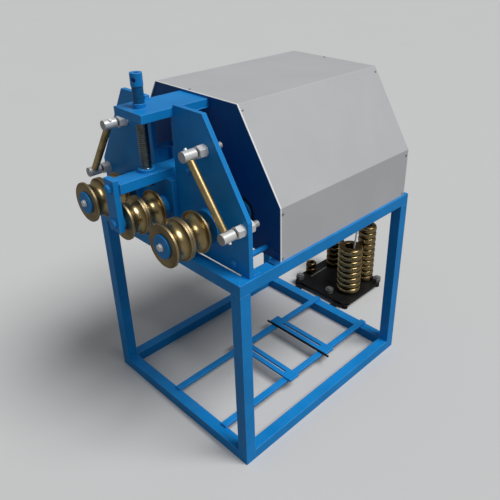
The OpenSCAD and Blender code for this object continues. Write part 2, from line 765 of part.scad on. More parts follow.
// Drive
gearbox_end_y = gearbox_y + gearbox_l;
gearbox_low = tube + motor_base_t;
motor_z = drive_z - motor_drop;
module motor_bearers() {
    base_x = gearbox_w * half + motor_base_over;
    bearer_x = head_half - cover_t - seat;
    color("#0a5fa5") up() {
        for (y = [gearbox_y, gearbox_end_y]) difference() {
            block(-bearer_x, bearer_x, y, y + tube, 0, tube);
            block(-bearer_x - cut, bearer_x + cut, y + tube_wall, y + tube - tube_wall,
                tube_wall, tube - tube_wall);
        }
        block(-base_x, base_x, gearbox_y, gearbox_end_y + tube, tube, gearbox_low);
    }
}
module gearbox() {
    color("#4c5359") up() difference() {
        block(-gearbox_w * half, gearbox_w * half, gearbox_y, gearbox_end_y,
            gearbox_low, drive_z + gearbox_over);
        translate([0, 0, drive_z]) ycyl(drive_r + fit, gearbox_y - cut, gearbox_y + gearbox_bore_l);
    }
}
module motor() {
    y1 = gearbox_end_y + motor_l;
    term_y = gearbox_end_y + (motor_l - term_l) * half;
    color("#3c434a") up() translate([0, 0, motor_z]) {
        ycyl(motor_r, gearbox_end_y, y1);
        ycyl(fan_r, y1, y1 + fan_l);
        block(-term_w * half, term_w * half, term_y, term_y + term_l, 0, motor_r + term_h);
    }
}
// Outline of a belt round the three sprockets at distance r from their centres
function arc(cx, cz, r, a0, a1, n) = [for (i = [0:n]) let (a = a0 + (a1 - a0) * i / n)
    [cx + r * cos(a), cz + r * sin(a)]];
chain_tilt = atan2(drive_z - shaft_z, shaft_x);
arc_steps = 8;
function belt(r) = concat(
    arc(shaft_x, shaft_z, r, -turn / 4, turn / 4 - chain_tilt, arc_steps),
    arc(0, drive_z, r, turn / 4 - chain_tilt, turn / 4 + chain_tilt, arc_steps),
    arc(-shaft_x, shaft_z, r, turn / 4 + chain_tilt, turn * 3 / 4, arc_steps));
module chain_plate(y0) {
    slab(y0, y0 + chain_plate_t) difference() {
        polygon(belt(pitch_r + chain_plate_h * half));
        polygon(belt(pitch_r - chain_plate_h * half));
    }
}
module chain_run(len, n0) {
    count = floor(len / chain_pitch);
    for (i = [n0:count - n0]) translate([0, 0, i * chain_pitch])
        ycyl(chain_roller_r, chain_mid_y - chain_in - cut, chain_mid_y + chain_in + cut);
}
module chain() {
    run_skip = 2;
    color("#2b2d30") up() {
        chain_plate(chain_mid_y - chain_in - chain_plate_t);
        chain_plate(chain_mid_y + chain_in);
        translate([-shaft_x, 0, shaft_z - pitch_r]) rotate([0, turn / 4, 0])
            chain_run(2 * shaft_x, run_skip);
        for (s = [-1, 1]) translate([s * (shaft_x + pitch_r * sin(chain_tilt)), 0,
            shaft_z + pitch_r * cos(chain_tilt)]) rotate([0, -s * (turn / 4 - chain_tilt), 0])
            chain_run(sqrt(pow(shaft_x, 2) + pow(drive_z - shaft_z, 2)), run_skip);
    }
}
tooth_share = 0.34;   // share of a pitch that a tooth takes at its foot
tip_share = 0.12;     // share of a pitch that a tooth takes at its tip
function tooth_pt(r, i) = [r * cos(turn * i / teeth), r * sin(turn * i / teeth)];
module sprocket(bore) {
    difference() {
        union() {
            slab(sprocket_y, sprocket_y + sprocket_t) polygon([for (i = [0:teeth - 1])
                for (k = [[root_r, -tooth_share], [tip_r, -tip_share], [tip_r, tip_share],
                    [root_r, tooth_share]]) tooth_pt(k[0], i + k[1])]);
            ycyl(sprocket_hub_r, hub_y, hub_y + sprocket_hub_l);
        }
        if (bore > 0) ycyl(bore, hub_y - cut, hub_y + sprocket_hub_l + cut);
    }
}
module drive_sprocket() {
    color("#5a5e63") up() translate([0, 0, drive_z]) {
        sprocket(0);
        ycyl(drive_r, hub_y, gearbox_y + gearbox_bore_l - 2 * seat);
    }
}

// Shafts and rolls
module shaft(x) {
    color("#5a6066") up() translate([x, 0, shaft_z]) {
        difference() {
            union() {
                ycyl(shaft_r, roll_front_y, shaft_end_y);
                ycyl(shoulder_r, roll_back_y, bearing_y - 2 * seat);
            }
            ycyl(cap_bolt_r + fit, roll_front_y - cut, roll_front_y + cap_bolt_in + cut);
        }
        sprocket(0);
    }
}
module shaft_left() { shaft(-shaft_x); }
module shaft_right() { shaft(shaft_x); }
// Profile of one roll from y0, w wide, with a round groove g deep, as [radius, y]
module groove(r, y0, w, g) {
    c = w * half - flange_w;
    gr = (pow(c, 2) + pow(g, 2)) / (2 * g);
    translate([r + gr - g, y0 + w * half]) circle(r = gr);
}
module roll_half(r, bore, y0, w, g) {
    difference() {
        polygon([[bore, y0], [r - edge, y0], [r, y0 + edge], [r, y0 + w - edge],
            [r - edge, y0 + w], [bore, y0 + w]]);
        groove(r, y0, w, g);
    }
}
module rolls(r, bore) {
    rotate([-90, 0, 0]) rotate_extrude() {
        roll_half(r, bore, roll_front_y, roll_a_w, groove_a_depth);
        roll_half(r, bore, roll_mid_y, roll_b_w, groove_b_depth);
    }
}
module rolls_left() { color("#a67c2c") up() translate([-shaft_x, 0, shaft_z]) rolls(roll_r, shaft_r + fit); }
module rolls_right() { color("#a67c2c") up() translate([shaft_x, 0, shaft_z]) rolls(roll_r, shaft_r + fit); }
module rolls_middle() { color("#a67c2c") up() translate([0, 0, mid_z]) rolls(mid_roll_r, axle_r + fit); }
module cap(x) {
    color("#1c6aa8") up() translate([x, 0, shaft_z]) difference() {
        ycyl(cap_r, roll_front_y - cap_t, roll_front_y);
        ycyl(cap_bolt_r + seat, roll_front_y - cap_t - cut, roll_front_y + cut);
    }
}
module cap_left() { cap(-shaft_x); }
module cap_right() { cap(shaft_x); }
module cap_bolt(x) {
    y0 = roll_front_y - cap_t;
    color("#c9ccce") up() translate([x, 0, shaft_z]) {
        yhex(cap_bolt_af, y0 - cap_bolt_head, y0);
        ycyl(cap_bolt_r, y0 - cut, roll_front_y + cap_bolt_in);
    }
}
module cap_bolt_left() { cap_bolt(-shaft_x); }
module cap_bolt_right() { cap_bolt(shaft_x); }

// Yoke
module yoke_beam() {
    color("#358cd2") up() difference() {
        union() {
            block(-beam_w * half, beam_w * half, arm_back_y, wing_back_y, beam_low, beam_top);
            translate([0, screw_y, beam_top]) cylinder(r = thrust_boss_r, h = thrust_boss_h);
        }
        translate([0, screw_y, beam_top]) cylinder(r = screw_r + fit, h = thrust_boss_h + cut);
        translate([0, screw_y, beam_low - cut]) cylinder(r = journal_r + fit, h = beam_t + 2 * cut);
        translate([0, 0, bolt_z]) ycyl(yoke_bolt_r + fit, arm_back_y - cut, arm_back_y + yoke_bolt_in + cut);
    }
}
module yoke_front_arm() {
    color("#0d5c9c") up() difference() {
        union() {
            block(-arm_w * half, arm_w * half, arm_front_y, arm_back_y, arm_low, arm_top);
            translate([0, 0, mid_z]) ycyl(thrust_r, arm_back_y - cut, roll_front_y - seat);
        }
        translate([0, 0, mid_z]) ycyl(axle_r + fit, arm_front_y - cut, roll_front_y + cut);
        translate([0, 0, bolt_z]) ycyl(yoke_bolt_r + seat, arm_front_y - cut, arm_back_y + cut);
    }
}
module yoke_slide() {
    tongue_half = window_half - play;
    color("#0d5c9c") up() difference() {
        union() {
            block(-back_arm_half, back_arm_half, back_arm_y, back_arm_y + back_arm_t, arm_low, beam_low);
            block(-tongue_half, tongue_half, back_arm_y, wing_back_y, arm_low, beam_low);
            block(-wing_half, wing_half, wing_y, wing_back_y, wing_low, beam_low);
            translate([0, 0, mid_z]) ycyl(boss_r, roll_back_y + seat, back_arm_y + cut);
        }
        translate([0, 0, mid_z]) ycyl(axle_r + fit, roll_back_y - cut, wing_back_y + cut);
    }
}
module axle_middle() {
    color("#1c6aa8") up() translate([0, 0, mid_z]) {
        ycyl(axle_r, arm_front_y, wing_back_y);
        ycyl(axle_end_r, arm_front_y - axle_end, arm_front_y + cut);
    }
}
module yoke_bolt() {
    color("#1c6aa8") up() translate([0, 0, bolt_z]) {
        yhex(yoke_bolt_af, arm_front_y - yoke_bolt_head, arm_front_y);
        ycyl(yoke_bolt_r, arm_front_y - cut, arm_back_y + yoke_bolt_in);
    }
}

// Screw
module screw_rod() {
    color("#8b9094") up() translate([0, screw_y, 0]) {
        translate([0, 0, screw_shoulder]) cylinder(r = screw_r, h = top_plate_top - screw_shoulder);
        translate([0, 0, beam_low - seat - retain_h])
            cylinder(r = journal_r, h = screw_shoulder - beam_low + seat + retain_h + cut);
        translate([0, 0, beam_low - seat - retain_h]) cylinder(r = retain_r, h = retain_h);
    }
}
module screw_head() {
    color("#0f64ac") up() translate([0, screw_y, 0]) difference() {
        union() {
            translate([0, 0, top_plate_top]) cylinder(r = screw_r, h = head_low - top_plate_top + cut);
            translate([0, 0, head_low]) cylinder(r = screw_head_r, h = screw_head_h);
        }
        translate([0, 0, head_low + screw_head_h * half]) rotate([turn / 4, 0, bar_hole_turn])
            translate([0, 0, -screw_head_r - cut]) cylinder(r = bar_hole_r, h = 2 * (screw_head_r + cut));
        translate([0, 0, head_top - socket_d]) cylinder(r = socket_r, h = socket_d + cut);
    }
}

// Side guides
module stud_spots(side) {
    translate([side * stud_up_x, 0, stud_up_z]) children();
    translate([side * stud_low_x, 0, stud_low_z]) children();
}
// From the upper stud, with +Z running down towards the lower one
module pin_at(side) {
    translate([side * stud_up_x, pin_y, stud_up_z])
        rotate([0, side * (turn * half - pin_tilt), 0]) children();
}
module guide_studs(side) {
    pin_l = pin_run + 2 * (stud_head_r + pin_out);
    color("#d4d7d9") up() {
        stud_spots(side) {
            ycyl(stud_head_r, stud_front_y, stud_head_back);
            ycyl(stud_r, stud_head_back - cut, front_back_y + stud_back);
        }
        pin_at(side) translate([0, 0, -stud_head_r - pin_out]) cylinder(r = pin_r, h = pin_l);
    }
}
module guide_sleeve(side) {
    color("#b98a36") up() pin_at(side) translate([0, 0, stud_head_r + sleeve_play]) difference() {
        cylinder(r = sleeve_r, h = pin_run - 2 * (stud_head_r + sleeve_play));
        translate([0, 0, -cut]) cylinder(r = pin_r + fit, h = pin_run);
    }
}
module guide_studs_left() { guide_studs(-1); }
module guide_studs_right() { guide_studs(1); }
module guide_sleeve_left() { guide_sleeve(-1); }
module guide_sleeve_right() { guide_sleeve(1); }
module guide_nuts() {
    washer_y = front_plate_y - stud_washer_t;
    jam_y = front_back_y + stud_washer_t;
    color("#dfe1e2") up() for (s = [-1, 1]) stud_spots(s) difference() {
        union() {
            yhex(stud_nut_af, washer_y - stud_nut_h, washer_y);
            ycyl(stud_washer_r, washer_y, front_plate_y);
            ycyl(stud_washer_r, front_back_y, jam_y);
            yhex(stud_nut_af, jam_y, jam_y + stud_jam_h);
        }
        ycyl(stud_r + fit, washer_y - stud_nut_h - cut, jam_y + stud_jam_h + cut);
    }
}

// Spare-roll rack, with x measured back from the plate's right edge and y from its front edge
nut_shares = [[0.38, 0.115], [0.05, 0.93], [0.93, 0.09]];
stack_shares = [[0.228, 0.4], [0.235, 0.85], [0.8, 0.845], [0.921, 0.36]];
strip_shares = [0.833, 0.255, 0.42];
stack_r = [spare_a_r, spare_b_r, spare_c_r, spare_d_r];
stack_count = [8, 10, 7, 2];
module rack_spot(p) { translate([rack_right_x - p[0] * rack_w, rack_y + p[1] * rack_l, rack_top]) children(); }
module rack_base() {
    c = rack_corner;
    x1 = rack_w * half;
    color("#141618") place() {
        translate([rack_mid_x, rack_y, rack_foot_h]) linear_extrude(rack_t)
            polygon([[-x1 + c, 0], [x1 - c, 0], [x1, c], [x1, rack_l - c],
                [x1 - c, rack_l], [-x1 + c, rack_l], [-x1, rack_l - c], [-x1, c]]);
        for (x = [-x1 + rack_foot_in, x1 - rack_foot_in], y = [rack_foot_in, rack_l - rack_foot_in])
            translate([rack_mid_x + x, rack_y + y, 0]) cylinder(r = rack_foot_r, h = rack_foot_h);
        for (s = [-1, 1]) translate([rack_mid_x + s * rack_w / 3, 0, rack_foot_h - lug_t])
            block(-lug_w * half, lug_w * half, stand_l, rack_y + lug_w, 0, lug_t);
    }
}
module leaning_bar() {
    stack_h = stack_count[0] * spare_w;
    room = spare_bore_share * spare_a_r - lean_r;
    lean = atan2((lean_foot_share + lean_top_share) * room, stack_h);
    difference() {
        translate([-lean_foot_share * room, 0, 0]) rotate([0, lean, 0]) translate([0, 0, -lean_r])
            cylinder(r = lean_r, h = (stack_h + lean_over) / cos(lean) + lean_r);
        translate([0, 0, -2 * lean_r]) cylinder(r = 2 * room, h = 2 * lean_r);
    }
}
module rack_fasteners() {
    color("#b9bcbf") place() {
        for (p = nut_shares) rack_spot(p) {
            cylinder(r = rack_nut_af * half / cos(hex_turn), h = rack_nut_h, $fn = hex_sides);
            cylinder(r = rack_stud_r, h = rack_nut_h + rack_stud_r * half);
        }
        rack_spot(stack_shares[0]) leaning_bar();
        rack_spot(strip_shares) translate([-strip_w * half, 0, 0])
            cube([strip_w, strip_shares[2] * rack_l, strip_t]);
    }
}
// One spare ring with a rounded edge, as [radius, z]
module spare_ring(r, z0) {
    w = spare_w;
    e = spare_edge_share * w;
    n = spare_neck_share * r;
    bore = spare_bore_share * r;
    polygon([[bore, z0], [r - n, z0], [r - n / 3, z0 + e / 3], [r, z0 + e],
        [r, z0 + w - e], [r - n / 3, z0 + w - e / 3], [r - n, z0 + w], [bore, z0 + w]]);
}
module spare_rolls() {
    color("#a67c2c") place() for (i = [0:len(stack_r) - 1]) rack_spot(stack_shares[i])
        rotate_extrude() for (k = [0:stack_count[i] - 1]) spare_ring(stack_r[i], k * spare_w);
}

leg_front_left();
leg_front_right();
leg_rear_left();
leg_rear_right();
top_rail_front();
top_rail_rear();
top_rail_left();
top_rail_right();
base_rail_front();
base_rail_rear();
base_rail_left();
base_rail_right();
bed_bar_left();
bed_bar_right();
slot_rail_front();
slot_rail_rear();
bed_rod();
front_plate();
back_plate();
top_plate();
screw_nut();
tie_bars();
tie_bolts();
slide_guides();
front_bearings();
back_bearings();
bearing_seals();
cover_shell();
rear_panel();
cover_screws();
cable_gland();
motor_bearers();
gearbox();
motor();
chain();
guide_nuts();
shaft_left();
rolls_left();
cap_left();
cap_bolt_left();
shaft_right();
rolls_right();
cap_right();
cap_bolt_right();
drive_sprocket();
rolls_middle();
yoke_beam();
yoke_front_arm();
yoke_slide();
axle_middle();
yoke_bolt();
screw_rod();
screw_head();
guide_studs_left();
guide_sleeve_left();
guide_studs_right();
guide_sleeve_right();
rack_base();
rack_fasteners();
spare_rolls();
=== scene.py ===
"""Dresses a three-roll ring roller: painted stand, sheet cover, brass rolls, feed screw and spare rolls."""

import math

import bpy
from bpy.props import FloatProperty, FloatVectorProperty, IntProperty, PointerProperty
from bpy.types import Operator, Panel, PropertyGroup
from mathutils import Matrix, Vector


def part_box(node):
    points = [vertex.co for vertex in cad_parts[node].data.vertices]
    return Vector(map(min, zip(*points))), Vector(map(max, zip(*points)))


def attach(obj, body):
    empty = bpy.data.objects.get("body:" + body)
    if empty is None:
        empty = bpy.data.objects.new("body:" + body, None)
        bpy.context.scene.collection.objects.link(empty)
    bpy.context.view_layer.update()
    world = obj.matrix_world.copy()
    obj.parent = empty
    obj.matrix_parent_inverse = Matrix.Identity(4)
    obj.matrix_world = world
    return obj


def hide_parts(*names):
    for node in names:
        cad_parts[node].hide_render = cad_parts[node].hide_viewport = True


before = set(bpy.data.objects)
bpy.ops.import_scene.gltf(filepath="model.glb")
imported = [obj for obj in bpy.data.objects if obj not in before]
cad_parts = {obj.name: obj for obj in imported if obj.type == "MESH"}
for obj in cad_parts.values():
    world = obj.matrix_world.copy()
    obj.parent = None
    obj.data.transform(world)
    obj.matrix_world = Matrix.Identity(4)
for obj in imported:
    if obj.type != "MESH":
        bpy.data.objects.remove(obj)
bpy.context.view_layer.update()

bl_info = {
    "name": "Ring Roller",
    "version": (1, 0, 0),
    "blender": (4, 5, 0),
    "location": "View3D > Sidebar > Ring Roller",
    "description": "Looks of a three-roll ring and profile bending machine",
    "category": "Object",
}

MM = 0.001
ACROSS, DEEP, HIGH = 0, 1, 2

# Depth of the stand's front edge, and the depths that are measured from it
STAND_FRONT = -518.5 * MM
SCREW_DEPTH = -19 * MM + STAND_FRONT
PLATE_FRONT = 45 * MM + STAND_FRONT
PLATE_BACK = 60 * MM + STAND_FRONT
BACK_PLATE_REAR = 187 * MM + STAND_FRONT
COVER_SCREW_ROWS = (181 * MM + STAND_FRONT, 817 * MM + STAND_FRONT)
RACK_FRONT = 905 * MM + STAND_FRONT

# Height of the stand's top
STAND_TOP = 715 * MM

# Guide studs and tie bolts: distance from the middle, and height
STUD_UP = (195 * MM, 1060 * MM)
STUD_LOW = (337 * MM, 865 * MM)
TIE_BOLTS = ((115 * MM, 975 * MM), (297 * MM, 742 * MM))

# Radius of a sleeve's bore, length of a stud's round head and of the neck behind it, which is painted in
# shade
PIN_HOLE = 5.2 * MM
STUD_HEAD = 42 * MM
STUD_NECK = 8 * MM

# Height of the feed screw's head, which stands on a neck that is painted darker
SCREW_HEAD = 36 * MM

# Top of the rack's plate, right edge and size of the rack, and thickness of one spare roll
RACK_TOP = 32 * MM
RACK_RIGHT = 75 * MM
RACK_WIDE = 330 * MM
RACK_LONG = 290 * MM
RING = 30 * MM

# Stacks of spare rolls: share of the rack's width from its right edge and of its length from its front
# edge, radius in millimetres and count
STACKS = ((0.228, 0.4, 58, 8), (0.235, 0.85, 43, 10), (0.8, 0.845, 44, 7), (0.921, 0.36, 26, 2))
WIDEST_STACK = 58 * MM

# Angle at which a mesh keeps a sharp edge
SHARP = math.radians(35)


# Settings


class FinishSettings(PropertyGroup):
    """Colours, wear and painted edge highlights of the finishes."""

    blue: FloatVectorProperty(
        name="Blue paint", description="Paint of the stand and the head",
        subtype="COLOR", size=3, min=0, max=1, default=(0.006, 0.225, 0.60))
    navy: FloatVectorProperty(
        name="Back plate paint", description="Darker paint of the back plate",
        subtype="COLOR", size=3, min=0, max=1, default=(0.003, 0.09, 0.27))
    cover: FloatVectorProperty(
        name="Cover paint", description="Light grey paint of the sheet cover",
        subtype="COLOR", size=3, min=0, max=1, default=(0.47, 0.475, 0.485))
    brass: FloatVectorProperty(
        name="Brass", description="Bright turned brass of the rolls",
        subtype="COLOR", size=3, min=0, max=1, default=(0.56, 0.42, 0.20))
    # Brown of tarnish on the brass, also used as painted shade on the rolls and between stacked spare rolls
    tarnish_and_shade: FloatVectorProperty(
        name="Tarnish", description="Brown film on the brass",
        subtype="COLOR", size=3, min=0, max=1, default=(0.085, 0.055, 0.022))
    steel: FloatVectorProperty(
        name="Bright steel", description="Plated studs, nuts and bolts",
        subtype="COLOR", size=3, min=0, max=1, default=(0.80, 0.80, 0.785))
    black: FloatVectorProperty(
        name="Black paint", description="Paint of the spare-roll rack",
        subtype="COLOR", size=3, min=0, max=1, default=(0.006, 0.006, 0.0065))
    machine_grey: FloatVectorProperty(
        name="Drive paint", description="Grey enamel of the gearbox and the motor",
        subtype="COLOR", size=3, min=0, max=1, default=(0.10, 0.115, 0.125))
    edge_radius: FloatProperty(
        name="Edge radius", description="Softness of painted edges",
        unit="LENGTH", min=0, max=0.01, default=0.0027)
    # How far edges are painted pale: partly paint wear, partly a painted highlight
    edge_wear_and_highlight: FloatProperty(
        name="Edge wear", description="How far the paint is rubbed pale along edges",
        subtype="FACTOR", min=0, max=1, default=1.0)


class FastenerSettings(PropertyGroup):
    """Sizes of nuts, bolts and screws."""

    tie_flats: FloatProperty(name="Tie bolt flats", description="Width across flats of the tie bolts",
                             unit="LENGTH", default=19 * MM)
    tie_head: FloatProperty(name="Tie bolt head", description="Head height of the tie bolts",
                            unit="LENGTH", default=8 * MM)
    cap_flats: FloatProperty(name="End bolt flats", description="Width across flats of the end bolts",
                             unit="LENGTH", default=19 * MM)
    yoke_flats: FloatProperty(name="Yoke bolt flats", description="Width across flats of the yoke bolt",
                              unit="LENGTH", default=24 * MM)
    stud_flats: FloatProperty(name="Stud nut flats", description="Width across flats of the stud nuts",
                              unit="LENGTH", default=34 * MM)
    pitch: FloatProperty(name="Screw lead", description="Lead of the feed screw's thread",
                         unit="LENGTH", default=6 * MM)
    thread: FloatProperty(name="Thread depth", description="Depth of the feed screw's thread",
                          unit="LENGTH", default=1.2 * MM)


class DetailSettings(PropertyGroup):
    """Weld beads, spare rolls and motor fins."""

    bead: FloatProperty(name="Weld bead", description="Radius of a weld bead",
                        unit="LENGTH", default=2.6 * MM)
    ring_edge: FloatProperty(name="Spare roll rounding", description="Depth of a spare roll's round edge",
                             unit="LENGTH", default=9 * MM)
    fins: IntProperty(name="Motor fins", description="Cooling fins round the motor",
                      min=12, max=72, default=40)


class StageSettings(PropertyGroup):
    """Camera, light and floor."""

    lens: FloatProperty(name="Lens", description="Focal length of the camera in millimetres",
                        min=10, max=200, default=41.36)
    azimuth: FloatProperty(name="Azimuth", description="Direction of the camera round the machine",
                           subtype="ANGLE", default=math.radians(43.7))
    elevation: FloatProperty(name="Elevation", description="Height angle of the camera",
                             subtype="ANGLE", default=math.radians(27.6))
    roll: FloatProperty(name="Roll", description="Roll of the camera",
                        subtype="ANGLE", default=math.radians(-0.1))
    place: FloatVectorProperty(name="Camera place", description="Where the camera stands",
                               subtype="TRANSLATION", size=3, default=(1.3655, -1.3961, 1.6144))
    floor: FloatVectorProperty(name="Floor", description="Plain pale floor",
                               subtype="COLOR", size=3, min=0, max=1, default=(0.60, 0.60, 0.595))
    key: FloatProperty(name="Key light", description="Strength of the soft main light",
                       min=0, max=20, default=2.7)
    sky: FloatProperty(name="Room light", description="Strength of the even light of the room",
                       min=0, max=5, default=0.22)
    bounce: FloatProperty(name="Floor bounce", description="Share of its tone that the floor throws back",
                          subtype="FACTOR", min=0, max=1, default=0.35)


# Shader fields


class Field:
    """A value that varies over a surface, held as a shader socket."""

    def __init__(self, shader, socket):
        self.shader = shader
        self.socket = socket

    def _math(self, operation, first, second):
        return self.shader.node("ShaderNodeMath", {"operation": operation}, {0: first, 1: second})

    def __add__(self, other):
        return self._math("ADD", self, other)

    def __radd__(self, other):
        return self._math("ADD", other, self)

    def __sub__(self, other):
        return self._math("SUBTRACT", self, other)

    def __rsub__(self, other):
        return self._math("SUBTRACT", other, self)

    def __mul__(self, other):
        return self._math("MULTIPLY", self, other)

    def __rmul__(self, other):
        return self._math("MULTIPLY", other, self)

    def __truediv__(self, other):
        return self._math("DIVIDE", self, other)

    def __rtruediv__(self, other):
        return self._math("DIVIDE", other, self)

    def __pow__(self, other):
        return self._math("POWER", self, other)

    def __rpow__(self, other):
        return self._math("POWER", other, self)

    def clamped(self):
        """The same value, held between 0 and 1."""
        return self.shader.node("ShaderNodeClamp", {}, {"Value": self})


class Finish:
    """A new material, or the room's world, whose nodes are written as fields."""

    def __init__(self, name, world=False):
        self.material = bpy.data.worlds.new(name) if world else bpy.data.materials.new(name)
        self.material.use_nodes = True
        self.nodes = self.material.node_tree.nodes
        self.links = self.material.node_tree.links
        self.surface = self.nodes["Background" if world else "Principled BSDF"]

    def put(self, socket, value):
        """Links a field to a socket, or sets a plain value on it."""
        if isinstance(value, Field):
            self.links.new(value.socket, socket)
        elif socket.type == "RGBA" and len(value) == 3:
            socket.default_value = (*value, 1)
        else:
            socket.default_value = value

    def node(self, kind, settings, values, out=0):
        """Adds one node: its settings first, then the values or links of its sockets."""
        made = self.nodes.new(kind)
        for key, value in settings.items():
            setattr(made, key, value)
        for key, value in values.items():
            self.put(made.inputs[key], value)
        return Field(self, made.outputs[out])

    def mix(self, factor, low, high):
        """Colour between low and high."""
        return self.node("ShaderNodeMix", {"data_type": "RGBA"}, {0: factor, 6: low, 7: high}, out=2)

    def place(self):
        """Point on the piece, in metres."""
        return self.node("ShaderNodeTexCoord", {}, {}, out="Object")

    def part(self, vector, axis):
        """The part of a vector that runs ACROSS, DEEP or HIGH."""
        return self.node("ShaderNodeSeparateXYZ", {}, {0: vector}, out=axis)

    def outward(self):
        """Direction that the surface faces."""
        return self.node("ShaderNodeNewGeometry", {}, {}, out="Normal")

    def size(self, value):
        """A value without its sign."""
        return self.node("ShaderNodeMath", {"operation": "ABSOLUTE"}, {0: value})

    def noise(self, scale, detail=3, rough=0.5, at=None):
        """Soft random value with features about 1 / scale metres wide."""
        values = {"Vector": at or self.place(), "Scale": scale, "Detail": detail, "Roughness": rough}
        return self.node("ShaderNodeTexNoise", {}, values)

    def band(self, value, low, high):
        """0 below low and 1 above high, soft between."""
        return self.node("ShaderNodeMapRange", {"interpolation_type": "SMOOTHSTEP"},
                         {"Value": value, "From Min": low, "From Max": high})

    def rounded(self, radius):
        """Normal that is softened across edges."""
        return self.node("ShaderNodeBevel", {"samples": 6}, {"Radius": radius})

    def edges(self, radius):
        """1 along outer and inner edges, 0 on flat ground."""
        pair = {0: self.rounded(radius), 1: self.outward()}
        same = self.node("ShaderNodeVectorMath", {"operation": "DOT_PRODUCT"}, pair, out="Value")
        return self.band(1 - same, 0.015, 0.22)

    def bump(self, height, strength, distance, normal=None):
        """Normal with fine relief on it."""
        values = {"Height": height, "Strength": strength, "Distance": distance}
        if normal is not None:
            values["Normal"] = normal
        return self.node("ShaderNodeBump", {}, values)

    def set(self, **values):
        """Sets the surface's sockets by name, with _ for a space."""
        for key, value in values.items():
            self.put(self.surface.inputs[key.replace("_", " ")], value)
        return self.material


finishes = {}


def kept(maker):
    """Makes each finish once."""
    def get(*details):
        key = (maker.__name__, *details)
        if key not in finishes:
            finishes[key] = maker(*details)
        return finishes[key]
    return get


def colours():
    """The user's colours, wear and painted edge highlights."""
    return bpy.context.scene.roller_finish


def toned(colour, factor, lift=0):
    """A colour times factor, plus lift, and never over 1."""
    return tuple(min(1, channel * factor + lift) for channel in colour)


@kept
def paint(name, shade, gloss, wear_and_highlight, cloudy=1.0, rim=None, darker_below=None):
    """Sprayed enamel: slight mottling, fine orange peel, dust on top faces and paler edges, partly wear and
    partly painted highlight.

    rim is the depth of a cut sheet edge that is painted bright, partly as wear and partly as a painted
    highlight.
    Below the height darker_below the paint is darker."""
    look = Finish(name)
    base = tuple(getattr(colours(), shade))
    radius = colours().edge_radius
    cloud = look.noise(5, 3, 0.55)
    speck = look.noise(160, 2, 0.6)
    dull = toned(base, 1 - 0.12 * cloudy)
    lively = toned(base, 1 + 0.08 * cloudy)
    tone = look.mix(look.band(cloud, 0.3, 0.7), dull, lively)
    # Pale edge colour: partly worn paint, partly a painted highlight along the edges
    worn_and_highlit = toned(base, 1.5, 0.06 + 0.1 * max(base))
    patchy = 0.35 + look.band(speck + cloud * 0.6, 0.55, 0.95) * 0.65
    edge = look.edges(radius) * patchy * (wear_and_highlight * colours().edge_wear_and_highlight)
    if rim is not None:
        # Pale band along the cover's cut front edge: partly wear, partly a painted highlight
        cut = 1 - look.band(look.part(look.place(), DEEP), rim + 3 * MM, rim + 6 * MM)
        edge = (edge + cut * 0.9).clamped()
        worn_and_highlit = look.mix(cut, worn_and_highlit, toned(base, 1.6, 0.16))
    tone = look.mix(edge, tone, worn_and_highlit)
    if darker_below is not None:
        # The paint is darker below the height darker_below, a little mottled
        below = 1 - look.band(look.part(look.place(), HIGH), darker_below - 3 * MM, darker_below)
        darkened = below * (0.6 + look.band(speck, 0.4, 0.7) * 0.2)
        tone = look.mix(darkened, tone, (0.004, 0.03, 0.06))
    on_top = look.band(look.part(look.outward(), HIGH), 0.75, 1.0)
    dust = on_top * look.band(look.noise(14, 4, 0.65), 0.42, 0.85) * (0.12 * cloudy)
    tone = look.mix(dust, tone, toned(base, 0.55, 0.16))
    peel = look.noise(520, 1, 0.4)
    rough = gloss + look.noise(22, 3, 0.6) * 0.14 + dust * 0.8
    return look.set(Base_Color=tone, Roughness=rough, Specular_IOR_Level=0.2,
                    Normal=look.bump(peel, 0.1, 0.0003, look.rounded(radius)))


@kept
def turned_brass(name, x, z, rim):
    """Brass with lathe lines round the shaft at x, z.

    It is brown on the flanks of the grooves and on its end faces, partly tarnish and partly painted shade,
    and painted bright at the radius rim, partly polish and partly painted highlight."""
    look = Finish(name)
    brass, tarnish_and_shade = tuple(colours().brass), tuple(colours().tarnish_and_shade)
    broken_edge = 0.0012
    spot = look.place()
    off_x = look.part(spot, ACROSS) - x
    off_z = look.part(spot, HIGH) - z
    radius = (off_x * off_x + off_z * off_z) ** 0.5
    lathe = look.node("ShaderNodeCombineXYZ", {}, {0: radius, 1: look.part(spot, DEEP)})
    lines = look.noise(420, 2, 0.5, at=lathe)
    bands = look.noise(90, 2, 0.6, at=lathe)
    film = look.band(look.noise(16, 3, 0.55), 0.35, 0.8)
    # Brown end faces and groove flanks: partly tarnish, partly painted shade
    end_face = look.band(look.size(look.part(look.outward(), DEEP)), 0.85, 0.98)
    flank = look.band(radius, rim * 0.8, rim * 0.95) * (1 - end_face)
    tarnished_and_shaded = (end_face * 0.55 + flank * 0.7 + film * 0.3).clamped()
    tone = look.mix(tarnished_and_shaded, brass, tarnish_and_shade)
    tone = look.mix(look.band(bands, 0.5, 0.75) * 0.2, tone, tarnish_and_shade)
    # Bright band at the rim and along the edges: partly polish, partly a painted highlight
    at_rim = look.band(radius, rim - 0.0016, rim - 0.0004)
    worn_and_highlit = (look.edges(broken_edge) * 0.75 + at_rim * 0.5).clamped()
    tone = look.mix(worn_and_highlit, tone, toned(brass, 1.25, 0.12))
    rough = 0.24 + bands * 0.1 + tarnished_and_shaded * 0.14
    return look.set(Base_Color=tone, Metallic=1.0, Roughness=rough,
                    Normal=look.bump(lines, 0.06, 0.0001, look.rounded(broken_edge)))


